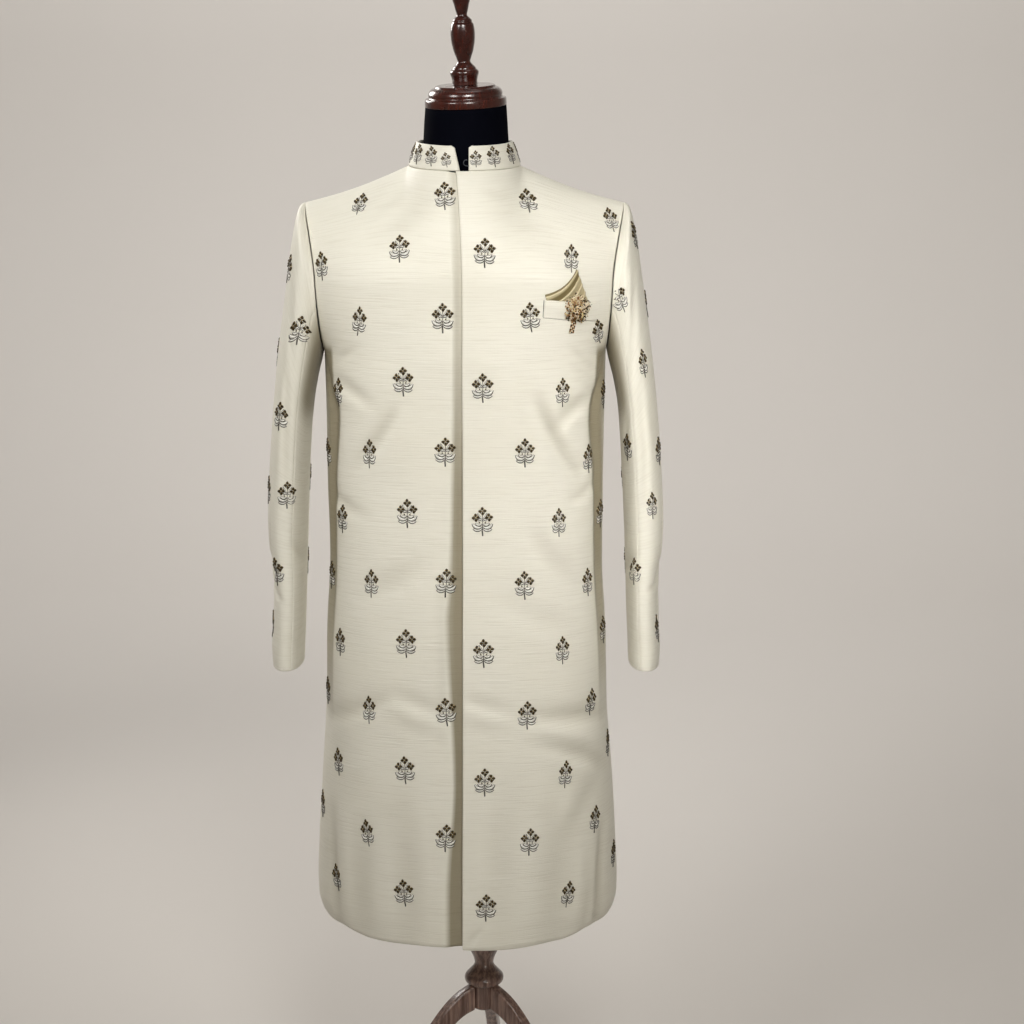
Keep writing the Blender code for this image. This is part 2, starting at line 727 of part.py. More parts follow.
def build_collar(cloth, collection):
    """Two halves of the stand collar, open at the front and parted at the middle back."""
    front_x = (("collar_left", COLLAR_LEFT_FRONT_X), ("collar_right", COLLAR_RIGHT_FRONT_X))
    for name, (base_x, top_x) in front_x:
        outer, inner = [], []
        for row in range(COLLAR_ROWS + 1):
            share = row / COLLAR_ROWS
            start = math.asin((base_x + (top_x - base_x) * share) / (NECK_X + (COLLAR_TOP_X - NECK_X) * share))
            end = math.pi - SEAM_HALF_GAP / COLLAR_TOP_X
            outer_row, inner_row = [], []
            for column in range(COLLAR_COLUMNS + 1):
                angle = start + (end - start) * column / COLLAR_COLUMNS
                point = collar_point(angle, share) + Vector((0.0, 0.0, COLLAR_SEAT))
                inward = Vector((-math.sin(angle), math.cos(angle), 0.0))
                outer_row.append(point)
                inner_row.append(point + inward * COLLAR_WALL)
            outer.append(outer_row)
            inner.append(inner_row)
        if name == "collar_right":
            outer, inner = mirrored(outer), mirrored(inner)
        cloth_wall(name, outer, inner, cloth, collection)


def build_hook(metal, collection):
    """Small wire hook at the foot of the collar's opening."""
    route = [Vector((x, HOOK_Y, z)) for x, z in HOOK_ROUTE]
    loops = []
    for index, point in enumerate(route):
        along = route[min(index + 1, len(route) - 1)] - route[max(index - 1, 0)]
        beside = along.cross(Vector((0.0, 1.0, 0.0))).normalized()
        loop = []
        for corner in range(HOOK_WIRE_CORNERS):
            turn = 2 * math.pi * corner / HOOK_WIRE_CORNERS
            loop.append(point + (beside * math.cos(turn) + Vector((0.0, math.sin(turn), 0.0))) * HOOK_WIRE_RADIUS)
        loops.append(loop)
    closed_loft("collar_hook", loops, metal, collection)


def armhole_line(side):
    """Armhole from the shoulder point to the underarm along the edge of the body."""
    levels = [level for level in body_levels() if level[0] == "yoke" or level[1] >= UNDERARM_Z]
    points = [body_point(side, level, 1.0) for level in reversed(levels)]
    lengths = [0.0]
    for before, after in zip(points, points[1:]):
        lengths.append(lengths[-1] + (after - before).length)
    return points, lengths


def armhole_point(side, share):
    """Point at a share of the armhole's length, from the shoulder down."""
    points, lengths = armhole_line(side)
    target = share * lengths[-1]
    index = min(max(bisect.bisect_right(lengths, target) - 1, 0), len(points) - 2)
    part = (target - lengths[index]) / (lengths[index + 1] - lengths[index])
    return points[index].lerp(points[index + 1], part) + Vector((ARMHOLE_GAP, 0.0, 0.0))


def sleeve_point(row, angle):
    """Outer point of the sleeve: angle 0 is the outer side, a right angle the front."""
    turn = math.radians(angle)
    if row == 0:
        wrapped = (angle + 180.0) % 360.0 - 180.0
        return armhole_point("front" if wrapped >= 0 else "back", abs(wrapped) / 180.0)
    station = SLEEVE_STATIONS[row - 1]
    outer = Vector((station.outer_x, station.y, station.outer_z))
    inner = Vector((station.inner_x, station.y, station.inner_z))
    power = 2.0 / SLEEVE_SQUARENESS
    return ((outer + inner) / 2 + (outer - inner) / 2 * signed_power(math.cos(turn), power)
            + Vector((0.0, -station.half_depth, 0.0)) * signed_power(math.sin(turn), power))


def sleeve_normal(row, angle):
    """Outward direction of the sleeve; in the armhole it lies in the seam's own plane."""
    step = 6.0
    around = sleeve_point(row, angle + step) - sleeve_point(row, angle - step)
    if row == 0:
        shoulder = armhole_point("front", 0.0)
        underarm = armhole_point("front", 1.0)
        axis = Vector((0.0, 1.0, 0.0)).cross(shoulder - underarm)
        return around.cross(axis).normalized() * (-1.0 if around.cross(axis).dot(
            sleeve_point(0, angle) - (shoulder + underarm) / 2) < 0 else 1.0)
    last = len(SLEEVE_STATIONS)
    along = sleeve_point(min(row + 1, last), angle) - sleeve_point(max(row - 1, 1), angle)
    return around.cross(along).normalized()


def build_sleeves(cloth, collection):
    """Upper and under half of each sleeve."""
    seam = SLEEVE_SEAM_ANGLE
    halves = (("upper_sleeve", -seam, seam, UPPER_COLUMNS), ("under_sleeve", seam, 360.0 - seam, UNDER_COLUMNS))
    for name, start, end, columns in halves:
        outer, inner = [], []
        for row in range(len(SLEEVE_STATIONS) + 1):
            half_girth = (sleeve_point(row, 0.0) - sleeve_point(row, 180.0)).length / 2
            trim = math.degrees(SEAM_HALF_GAP * SLEEVE_SEAM_TRIM / max(half_girth, 0.03))
            outer_row, inner_row = [], []
            for column in range(columns + 1):
                angle = start + trim + (end - start - 2 * trim) * column / columns
                point = sleeve_point(row, angle)
                outer_row.append(point)
                inner_row.append(point - sleeve_normal(row, angle) * WALL)
            outer.append(outer_row)
            inner.append(inner_row)
        cloth_wall(f"{name}_left", outer, inner, cloth, collection)
        cloth_wall(f"{name}_right", mirrored(outer), mirrored(inner), cloth, collection)


def chest_point(x, z, lift):
    """Point on the wearer's left front, moved out along the surface's direction."""
    fraction = fraction_at_x("front", z, x)
    point = section_point("front", z, fraction)
    beside = section_point("front", z, fraction + 0.01) - section_point("front", z, fraction - 0.01)
    normal = Vector((-beside.y, beside.x, 0.0)).normalized()
    if normal.y > 0:
        normal.negate()
    return point + normal * lift


def build_pocket(cloth, satin, metal, collection):
    """Breast welt, the folded square in it and the brooch on it."""
    def between(pair, share):
        return pair[0] + (pair[1] - pair[0]) * share

    outer, inner = [], []
    for row in range(WELT_ROWS + 1):
        rise = row / WELT_ROWS
        outer_row, inner_row = [], []
        for column in range(WELT_COLUMNS + 1):
            share = column / WELT_COLUMNS
            x = between(WELT_X, share)
            z = between((between(WELT_BOTTOM_Z, share), between(WELT_TOP_Z, share)), rise)
            bow = math.sin(math.pi * (0.05 + 0.90 * share)) ** 0.35
            stand_off = SEAT_GAP + WELT_STAND_OFF * smoothstep(0.0, 0.75, rise) * bow
            outer_row.append(chest_point(x, z, stand_off + WELT_WALL))
            inner_row.append(chest_point(x, z, stand_off))
        outer.append(outer_row)
        inner.append(inner_row)
    cloth_wall("breast_welt", outer, inner, cloth, collection)
    build_square(satin, collection)
    build_brooch(metal, collection)


def build_square(satin, collection):
    """Folded square: a peaked fan of slanting pleats, its foot tucked behind the welt."""
    outer, inner = [], []
    left, right = SQUARE_X
    for row in range(SQUARE_ROWS + 1):
        rise = row / SQUARE_ROWS
        outer_row, inner_row = [], []
        for column in range(SQUARE_COLUMNS + 1):
            share = column / SQUARE_COLUMNS
            foot_x = left + 0.004 + (right - left - 0.006) * share
            foot_z = WELT_TOP_Z[0] - SQUARE_TUCK - (WELT_TOP_Z[0] - WELT_TOP_Z[1]) * share
            peak_share = (SQUARE_PEAK[0] - left) / (right - left)
            if share < peak_share:
                top = SQUARE_LEFT_RISE + (SQUARE_PEAK[1] - SQUARE_LEFT_RISE) * (share / peak_share) ** 1.15
            else:
                fall = ((share - peak_share) / (1.0 - peak_share)) ** 1.2
                top = SQUARE_PEAK[1] * (1.0 - SQUARE_RIGHT_FALL * fall)
            x = foot_x + (left + (right - left) * share - foot_x + 0.004 * (share - 0.3)) * rise
            z = foot_z + (SQUARE_TUCK + top) * rise
            wave = math.sin(math.pi * SQUARE_PLEATS * (share + SQUARE_LEAN * rise)) ** 2
            pleat = SQUARE_PLEAT_HEIGHT * wave * smoothstep(0.15, 0.45, rise)
            outer_row.append(chest_point(x, z, SQUARE_SEAT + pleat + SQUARE_WALL))
            inner_row.append(chest_point(x, z, SQUARE_SEAT))
        outer.append(outer_row)
        inner.append(inner_row)
    cloth_wall("pocket_square", outer, inner, satin, collection)


def build_brooch(metal, collection):
    """Lobed and domed oval that lies on the welt."""
    middle_x, middle_z = BROOCH_MIDDLE
    half_width, half_height = BROOCH_HALF_SIZE
    loops = []
    for size, lift in ((0.45, 0.0), (1.0, 0.0), (1.0, 0.35), (0.80, 0.80), (0.45, 1.0)):
        loop = []
        for index in range(BROOCH_LOBES * 4):
            turn = 2 * math.pi * index / (BROOCH_LOBES * 4)
            reach = size * (1.0 + 0.07 * math.cos(BROOCH_LOBES * turn))
            x = middle_x + half_width * reach * math.cos(turn)
            z = middle_z + half_height * reach * math.sin(turn)
            loop.append(chest_point(x, z, BROOCH_SEAT + BROOCH_HEIGHT * lift))
        loops.append(loop)
    closed_loft("brooch", loops, metal, collection)


def build_form(cover, wood, collection):
    """Torso with its neck, the turned cap and the finial."""
    levels = [("section", z) for z in FORM_ROWS]
    levels += [level for level in body_levels()
               if level[1] > FORM_ROWS[-1] and level[0] == "section" or level[0] == "yoke" and level[1] < 0.9]
    fractions = stretched_columns(0.0, 1.0)[:-1] + [FORM_EDGE_FRACTION]
    loops = []
    for row, level in enumerate(levels):
        quarter = {}
        for side in ("front", "back"):
            points = []
            for fraction in fractions:
                normal = body_normal(side, levels, row, fraction)
                point = body_point(side, level, fraction) - normal * (WALL + form_clearance(level, fraction))
                if row == 0:
                    point.z = FORM_BOTTOM_Z
                points.append(point)
            quarter[side] = points
        shift = Vector((form_shift(level), 0.0, 0.0))
        right = quarter["front"] + quarter["back"][::-1]
        left = [Vector((-point.x, point.y, point.z)) for point in right[::-1]]
        loop = right + left[1:-1]
        loops.append([point + shift for point in loop])
    loops += neck_loops(fractions)
    closed_loft("form_torso", loops, cover, collection)
    head_turn = (HEAD_NOD, HEAD_LEAN, 0.0)
    up = Vector((0.0, 0.0, 1.0))
    up.rotate(Euler(head_turn))
    neck_top = Vector((FORM_NECK_X, FORM_NECK_Y, FORM_NECK_TOP_Z))
    cap_foot = neck_top + up * SEAT_GAP
    turned("form_cap", CAP_PROFILE, wood, collection, cap_foot, head_turn)
    cap_height = CAP_PROFILE[0][1]
    turned("form_finial", FINIAL_PROFILE, wood, collection, cap_foot + up * (cap_height + SEAT_GAP), head_turn)


def form_clearance(level, fraction):
    """Room between the form and the cloth: none to speak of on the shoulders, more lower down."""
    front_room = FORM_FRONT_CLEARANCE * (1.0 - smoothstep(0.10, 0.34, fraction))
    if level[0] == "yoke":
        chest_room = FORM_FRONT_CLEARANCE * (1.0 - smoothstep(0.0, 0.6, level[1]))
        return max(FORM_SHOULDER_CLEARANCE, chest_room, front_room)
    return FORM_FRONT_CLEARANCE + FORM_HIP_CLEARANCE * (1.0 - smoothstep(0.80, UNDERARM_Z, level[1]))


def form_shift(level):
    """Sideways lean of the form, which brings its foot over the post."""
    if level[0] == "yoke" or level[1] > UNDERARM_Z:
        return 0.0
    return POST_X * (UNDERARM_Z - level[1]) / (UNDERARM_Z - FORM_BOTTOM_Z)


def neck_loops(fractions):
    """Loops of the form's neck, the last one square to the leaning cap."""
    angles = []
    for fraction in fractions:
        share = fraction / FORM_EDGE_FRACTION
        split = NECK_FRACTION / FORM_EDGE_FRACTION
        if share <= split:
            angles.append(math.radians(FORM_NECK_SPLIT * share / split))
        else:
            rest = (share - split) / (1.0 - split)
            angles.append(math.radians(FORM_NECK_SPLIT + (FORM_NECK_END - FORM_NECK_SPLIT) * rest))
    right = angles + [math.pi - angle for angle in angles[::-1]]
    around = right + [2 * math.pi - angle for angle in right[::-1][1:-1]]
    loops = []
    for row in FORM_NECK_ROWS:
        loops.append([Vector((FORM_NECK_X + row.half_width * math.sin(angle),
                              FORM_NECK_Y - row.half_depth * math.cos(angle), row.z)) for angle in around])
    top = []
    for angle in around:
        point = Vector((math.sin(angle), -math.cos(angle), 0.0)) * FORM_NECK_TOP_RADIUS
        point.rotate(Euler((HEAD_NOD, HEAD_LEAN, 0.0)))
        top.append(point + Vector((FORM_NECK_X, FORM_NECK_Y, FORM_NECK_TOP_Z)))
    loops.append(top)
    return loops


def leg_loops():
    """Oblong sections of a leg that reaches out along +X."""
    loops = []
    for station in LEG_STATIONS:
        turn = math.radians(station.facing)
        middle = Vector((station.reach, 0.0, station.z))
        up = Vector((math.sin(turn), 0.0, math.cos(turn))) * station.half_height
        across = Vector((0.0, LEG_HALF_WIDTH, 0.0))
        loops.append([middle + up * rise + across * side for side, rise in LEG_CORNERS])
    return loops


def build_stand(wood, collection):
    """Turned post and three curved legs."""
    turned("post", POST_PROFILE, wood, collection, (POST_X, 0.0, 0.0))
    for name, azimuth in LEG_AZIMUTHS:
        leg = closed_loft(name, leg_loops(), wood, collection)
        leg.location = (POST_X, 0.0, 0.0)
        leg.rotation_euler = (0.0, 0.0, math.radians(azimuth))


def main():
    """Clear the scene and build every piece."""
    for item in list(bpy.data.objects):
        bpy.data.objects.remove(item)
    collection = bpy.data.collections.new("Sherwani coat on dress form")
    bpy.context.scene.collection.children.link(collection)
    ivory = make_material("ivory_silk", (0.83, 0.79, 0.68), 0.55)
    satin = make_material("olive_gold_satin", (0.42, 0.33, 0.14), 0.35)
    metal = make_material("brooch_gold", (0.62, 0.45, 0.20), 0.30, 1.0)
    steel = make_material("hook_steel", (0.45, 0.46, 0.48), 0.35, 1.0)
    cover = make_material("navy_cover", (0.012, 0.014, 0.026), 0.90)
    wood = make_material("mahogany", (0.16, 0.045, 0.025), 0.25)
    build_body(ivory, collection)
    build_collar(ivory, collection)
    build_hook(steel, collection)
    build_sleeves(ivory, collection)
    build_pocket(ivory, satin, metal, collection)
    build_form(cover, wood, collection)
    build_stand(wood, collection)
    for piece in collection.objects:
        piece.location.y += PART_Y


main()
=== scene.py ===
"""Sherwani coat on a limbless dress form with a turned tripod stand, dressed for rendering.

The coat's panels are thin shells on the forms of the solids, with their creases, ironed edges and beaded
sprigs, and painted shade in the colour of their creases and recesses. Metres, +Z up. The floor is z = 0, the front of
the coat faces -Y and the wearer's left is +X.
"""

import logging
import math
import random
from dataclasses import dataclass, field
from enum import Enum
from typing import Any, Callable, NamedTuple, Sequence

import bmesh
import bpy
import numpy as np
from mathutils import Euler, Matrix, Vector


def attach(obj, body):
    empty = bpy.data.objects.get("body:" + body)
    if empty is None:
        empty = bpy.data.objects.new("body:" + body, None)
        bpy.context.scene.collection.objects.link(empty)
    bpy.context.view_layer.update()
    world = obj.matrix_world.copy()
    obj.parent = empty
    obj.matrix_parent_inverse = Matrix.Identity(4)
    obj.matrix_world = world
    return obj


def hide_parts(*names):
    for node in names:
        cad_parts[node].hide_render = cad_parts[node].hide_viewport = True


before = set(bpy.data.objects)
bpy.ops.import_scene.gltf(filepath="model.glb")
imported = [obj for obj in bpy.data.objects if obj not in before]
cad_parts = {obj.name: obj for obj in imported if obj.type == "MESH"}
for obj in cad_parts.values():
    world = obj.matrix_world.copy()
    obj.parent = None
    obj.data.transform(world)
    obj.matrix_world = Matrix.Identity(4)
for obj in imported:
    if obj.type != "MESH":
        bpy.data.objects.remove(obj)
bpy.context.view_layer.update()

LOG = logging.getLogger("sherwani")
Array = np.ndarray
Colour = tuple[float, float, float]

BODY = "root"
CLOTH_MAP = "cloth"
SHADE = "shade"
PART_Y = -0.04903
WALL = 0.0016
COLLAR_WALL = 0.0030
SEAM_HALF_GAP = 0.00015
SEAT_GAP = 0.0003


class Side(Enum):
    """Half of the coat's body in front of or behind the side seams."""

    FRONT = "front"
    BACK = "back"

    @property
    def facing(self) -> float:
        """Sign of the y direction that the half faces."""
        return -1.0 if self is Side.FRONT else 1.0


class Slot(Enum):
    """Material slots of the record."""

    SILK = "ivory_silk"
    SATIN = "olive_satin"
    BEADS = "brooch_gold"
    WIRE = "hook_steel"
    COVER = "navy_cover"
    WOOD = "mahogany"


class Thread(Enum):
    """Finishes used in the sprigs and the brooch, in the order of their material slots."""

    DARK_GOLD = 0
    BRIGHT_GOLD = 1
    LEAF = 2
    OUTLINE = 3
    COPPER = 4
    CREAM = 5


def smoothstep(low: float, high: float, value: Any) -> Any:
    """Ease from 0 to 1 as the value goes from low to high.

    Args:
        low: Value at which the ease starts.
        high: Value at which it ends.
        value: Number or array.

    Returns:
        The eased share, of the value's own shape.
    """
    share = np.clip((np.asarray(value, dtype=float) - low) / (high - low), 0.0, 1.0)
    return share * share * (3.0 - 2.0 * share)


def column_at(rows: Sequence[Any], column: str, z: float) -> float:
    """Named column of a table at height z, on a smooth curve through its rows.

    Args:
        rows: Rows with a z field, in rising order.
        column: Name of the column to read.
        z: Height.

    Returns:
        The column's value there.
    """
    heights = [row.z for row in rows]
    values = [getattr(row, column) for row in rows]
    z = min(max(z, heights[0]), heights[-1])
    low = int(min(max(np.searchsorted(heights, z, side="right") - 1, 0), len(rows) - 2))
    high = low + 1

    def slope(index: int) -> float:
        """Slope of the column at a row."""
        before = max(index - 1, 0)
        after = min(index + 1, len(rows) - 1)
        return (values[after] - values[before]) / (heights[after] - heights[before])

    span = heights[high] - heights[low]
    share = (z - heights[low]) / span
    square, cube = share * share, share ** 3
    return (values[low] * (2 * cube - 3 * square + 1) + slope(low) * span * (cube - 2 * square + share)
            + values[high] * (3 * square - 2 * cube) + slope(high) * span * (cube - square))


class Ring(NamedTuple):
    """Level section of the coat's body."""

    z: float
    half_width: float
    front: float
    back: float
    squareness: float


BODY_RINGS = (
    Ring(0.400, 0.2100, 0.1400, 0.1380, 2.02),
    Ring(0.438, 0.2190, 0.1410, 0.1400, 2.12),
    Ring(0.520, 0.2165, 0.1395, 0.1390, 2.28),
    Ring(0.630, 0.2090, 0.1365, 0.1375, 2.45),
    Ring(0.722, 0.2023, 0.1325, 0.1360, 2.60),
    Ring(0.846, 0.1982, 0.1280, 0.1330, 2.80),
    Ring(0.930, 0.1931, 0.1240, 0.1260, 2.90),
    Ring(1.054, 0.1934, 0.1210, 0.1170, 2.90),
    Ring(1.147, 0.1939, 0.1250, 0.1190, 2.80),
    Ring(1.202, 0.1948, 0.1285, 0.1230, 2.70),
    Ring(1.235, 0.1955, 0.1300, 0.1250, 2.60),
    Ring(1.330, 0.2012, 0.1280, 0.1260, 2.50),
)


class EdgePoint(NamedTuple):
    """Place of the overlapping front's free edge, and the sunk strip beside it."""

    z: float
    x: float
    strip: float


FRONT_EDGE = (
    EdgePoint(0.400, -0.0043, 0.023),
    EdgePoint(0.500, -0.0040, 0.022),
    EdgePoint(0.640, -0.0030, 0.012),
    EdgePoint(0.870, -0.0020, 0.024),
    EdgePoint(0.930, -0.0017, 0.019),
    EdgePoint(1.200, -0.0010, 0.0120),
    EdgePoint(1.350, -0.0010, 0.0115),
    EdgePoint(1.420, -0.0050, 0.0120),
    EdgePoint(1.4825, -0.0097, 0.0110),
)


class FoldPoint(NamedTuple):
    """Where the side fold of the front crosses a height, and how deep it is there."""

    z: float
    x: float
    depth: float


SIDE_FOLD = (
    FoldPoint(0.700, 0.1870, 0.0000),
    FoldPoint(0.825, 0.1845, 0.0030),
    FoldPoint(0.930, 0.1780, 0.0040),
    FoldPoint(1.068, 0.1745, 0.0055),
    FoldPoint(1.160, 0.1680, 0.0060),
    FoldPoint(1.194, 0.1780, 0.0045),
    FoldPoint(1.235, 0.1850, 0.0000),
)


class Crease(NamedTuple):
    """Soft trough from one place on a panel to another; a ridge where the depth is negative."""

    u0: float
    v0: float
    u1: float
    v1: float
    width: float
    depth: float
    bend: float = 0.0


FRONT_LEFT_CREASES = (
    Crease(0.102, 1.180, 0.160, 1.080, 0.0100, 0.0046, 0.004),
    Crease(0.126, 1.146, 0.192, 1.186, 0.0100, 0.0030, -0.004),
    Crease(0.148, 1.038, 0.190, 1.058, 0.0085, 0.0026, 0.002),
    Crease(0.150, 1.246, 0.200, 1.214, 0.0055, 0.0012, 0.001),
    Crease(0.148, 1.228, 0.198, 1.200, 0.0050, 0.0011, 0.002),
    Crease(0.156, 1.210, 0.196, 1.186, 0.0050, 0.0012, 0.001),
    Crease(0.094, 1.000, 0.152, 0.936, 0.0160, 0.0020, 0.005),
    Crease(0.000, 0.766, 0.064, 0.746, 0.0110, 0.0016, 0.002),
    Crease(-0.002, 0.748, 0.056, 0.730, 0.0095, -0.0018, 0.002),
    Crease(0.094, 0.737, 0.226, 0.722, 0.0130, 0.0034, -0.003),
    Crease(0.104, 0.716, 0.232, 0.672, 0.0100, -0.0026, -0.003),
    Crease(0.120, 0.696, 0.222, 0.648, 0.0120, 0.0022, -0.002),
    Crease(0.205, 0.640, 0.150, 0.560, 0.0150, 0.0020, 0.004),
    Crease(0.214, 0.560, 0.206, 0.408, 0.0095, 0.0040, 0.003),
    Crease(0.188, 0.520, 0.180, 0.404, 0.0085, 0.0024, -0.002),
    Crease(0.064, 0.640, 0.056, 0.410, 0.0300, 0.0018, 0.006),
    Crease(0.126, 0.610, 0.118, 0.404, 0.0260, 0.0022, -0.005),
    Crease(0.002, 0.412, 0.024, 0.432, 0.0042, 0.0016, 0.002),
    Crease(-0.002, 0.404, 0.016, 0.418, 0.0036, 0.0012, 0.001),
    Crease(0.192, 0.430, 0.214, 0.410, 0.0045, 0.0016, 0.001),
    Crease(0.040, 1.450, 0.150, 1.362, 0.0220, 0.0010, 0.004),
    Crease(0.016, 1.470, 0.050, 1.452, 0.0060, 0.0009, 0.002),
    Crease(0.060, 0.905, 0.150, 0.868, 0.0180, 0.0014, 0.004),
)
FRONT_RIGHT_CREASES = (
    Crease(0.096, 1.166, 0.150, 1.092, 0.0110, 0.0034, 0.004),
    Crease(0.130, 1.176, 0.196, 1.206, 0.0095, 0.0028, -0.003),
    Crease(0.140, 1.020, 0.200, 1.044, 0.0100, 0.0022, 0.002),
    Crease(0.150, 1.250, 0.200, 1.222, 0.0060, 0.0012, 0.001),
    Crease(0.030, 0.748, 0.096, 0.772, 0.0110, 0.0020, 0.002),
    Crease(0.028, 0.726, 0.100, 0.748, 0.0095, -0.0018, 0.002),
    Crease(0.110, 0.764, 0.220, 0.720, 0.0130, 0.0028, 0.003),
    Crease(0.060, 0.958, 0.140, 0.914, 0.0170, 0.0018, 0.004),
    Crease(0.206, 0.580, 0.200, 0.410, 0.0110, 0.0032, -0.003),
    Crease(0.090, 0.620, 0.082, 0.404, 0.0260, 0.0022, 0.005),
    Crease(0.150, 0.560, 0.146, 0.404, 0.0200, 0.0020, -0.004),
    Crease(0.034, 0.920, 0.036, 0.700, 0.0100, 0.0012, 0.003),
    Crease(0.034, 1.452, 0.110, 1.396, 0.0180, 0.0010, 0.003),
    Crease(0.060, 1.464, 0.120, 1.430, 0.0080, 0.0009, 0.002),
)
BACK_LEFT_CREASES = (
    Crease(0.010, 1.036, 0.110, 1.064, 0.0120, 0.0030, 0.003),
    Crease(0.030, 1.002, 0.150, 1.012, 0.0130, 0.0026, -0.004),
    Crease(0.110, 1.150, 0.188, 1.214, 0.0120, 0.0034, 0.004),
    Crease(0.090, 1.236, 0.176, 1.320, 0.0160, 0.0022, 0.005),
    Crease(0.066, 0.930, 0.066, 0.404, 0.0280, 0.0042, 0.006),
    Crease(0.150, 0.800, 0.164, 0.404, 0.0240, 0.0046, -0.006),
    Crease(0.206, 0.700, 0.214, 0.420, 0.0140, 0.0026, 0.003),
    Crease(0.070, 1.440, 0.160, 1.398, 0.0180, 0.0012, 0.003),
    Crease(0.020, 0.880, 0.100, 0.842, 0.0170, 0.0018, 0.003),
)
BACK_RIGHT_CREASES = (
    Crease(0.014, 1.052, 0.120, 1.040, 0.0120, 0.0028, -0.003),
    Crease(0.040, 1.012, 0.160, 0.984, 0.0140, 0.0026, 0.003),
    Crease(0.100, 1.136, 0.186, 1.198, 0.0130, 0.0030, -0.004),
    Crease(0.100, 1.250, 0.172, 1.312, 0.0150, 0.0020, 0.003),
    Crease(0.074, 0.890, 0.070, 0.404, 0.0260, 0.0046, -0.005),
    Crease(0.160, 0.780, 0.160, 0.404, 0.0250, 0.0038, 0.006),
    Crease(0.212, 0.640, 0.208, 0.420, 0.0130, 0.0028, -0.003),
    Crease(0.050, 0.860, 0.130, 0.806, 0.0180, 0.0018, 0.004),
)
SLEEVE_LEFT_CREASES = (
    Crease(0.090, 1.175, 0.094, 1.030, 0.0100, 0.0020, 0.002),
    Crease(0.038, 1.030, 0.034, 0.925, 0.0040, 0.0016, 0.001),
    Crease(-0.030, 0.975, 0.040, 0.916, 0.0090, 0.0046, 0.003),
    Crease(0.016, 0.914, 0.078, 0.905, 0.0050, 0.0022, 0.001),
    Crease(0.030, 0.905, 0.034, 0.850, 0.0080, 0.0024, 0.002),
    Crease(0.120, 0.960, 0.180, 0.925, 0.0090, 0.0020, 0.002),
    Crease(0.130, 1.170, 0.150, 1.110, 0.0080, 0.0014, 0.002),
    Crease(0.056, 1.300, 0.100, 1.240, 0.0120, 0.0016, 0.003),
    Crease(-0.060, 1.300, -0.095, 1.180, 0.0160, 0.0022, 0.004),
    Crease(-0.110, 0.980, -0.060, 0.930, 0.0120, 0.0026, -0.003),
    Crease(-0.100, 0.930, -0.050, 0.900, 0.0100, 0.0020, 0.003),
)
SLEEVE_RIGHT_CREASES = (
    Crease(0.080, 1.190, 0.092, 1.060, 0.0110, 0.0020, -0.002),
    Crease(0.044, 1.010, 0.036, 0.935, 0.0045, 0.0014, 0.001),
    Crease(-0.024, 0.962, 0.046, 0.922, 0.0090, 0.0042, -0.003),
    Crease(0.022, 0.908, 0.080, 0.890, 0.0055, 0.0018, 0.001),
    Crease(0.118, 0.975, 0.176, 0.940, 0.0100, 0.0020, 0.002),
    Crease(-0.070, 1.280, -0.110, 1.160, 0.0150, 0.0024, -0.004),
    Crease(-0.120, 0.960, -0.060, 0.915, 0.0120, 0.0026, 0.003),
    Crease(0.050, 1.290, 0.090, 1.220, 0.0120, 0.0014, 0.003),
)


class Station(NamedTuple):
    """Sleeve section, by its outline points on the outer and the body side."""

    outer_x: float
    outer_z: float
    inner_x: float
    inner_z: float
    y: float
    half_depth: float


SLEEVE_STATIONS = (
    Station(0.2258, 1.4300, 0.1972, 1.2290, -0.0010, 0.0775),
    Station(0.2318, 1.4100, 0.1998, 1.2175, -0.0020, 0.0790),
    Station(0.2380, 1.3750, 0.2035, 1.2030, -0.0020, 0.0795),
    Station(0.2455, 1.3250, 0.2080, 1.1820, -0.0020, 0.0785),
    Station(0.2540, 1.2680, 0.2120, 1.1590, -0.0020, 0.0765),
    Station(0.2620, 1.2050, 0.2157, 1.1280, -0.0020, 0.0745),
    Station(0.2690, 1.1380, 0.2189, 1.0860, -0.0020, 0.0722),
    Station(0.2750, 1.0690, 0.2213, 1.0380, -0.0020, 0.0700),
    Station(0.2788, 1.0000, 0.2235, 0.9830, -0.0035, 0.0685),
    Station(0.2765, 0.9520, 0.2252, 0.9430, -0.0075, 0.0665),
    Station(0.2716, 0.9250, 0.2260, 0.9190, -0.0115, 0.0650),
    Station(0.2708, 0.8950, 0.2271, 0.8920, -0.0165, 0.0635),
    Station(0.2722, 0.8510, 0.2284, 0.8500, -0.0240, 0.0610),
    Station(0.2745, 0.8200, 0.2297, 0.8190, -0.0295, 0.0590),
    Station(0.2735, 0.7930, 0.2305, 0.7930, -0.0340, 0.0572),
)


class SprigColumn(NamedTuple):
    """Upright run of sprigs: distance from the middle, the two topmost heights, the repeat and how many."""

    girth: float
    first: float
    second: float
    repeat: float
    count: int
    top_share: float = 1.0


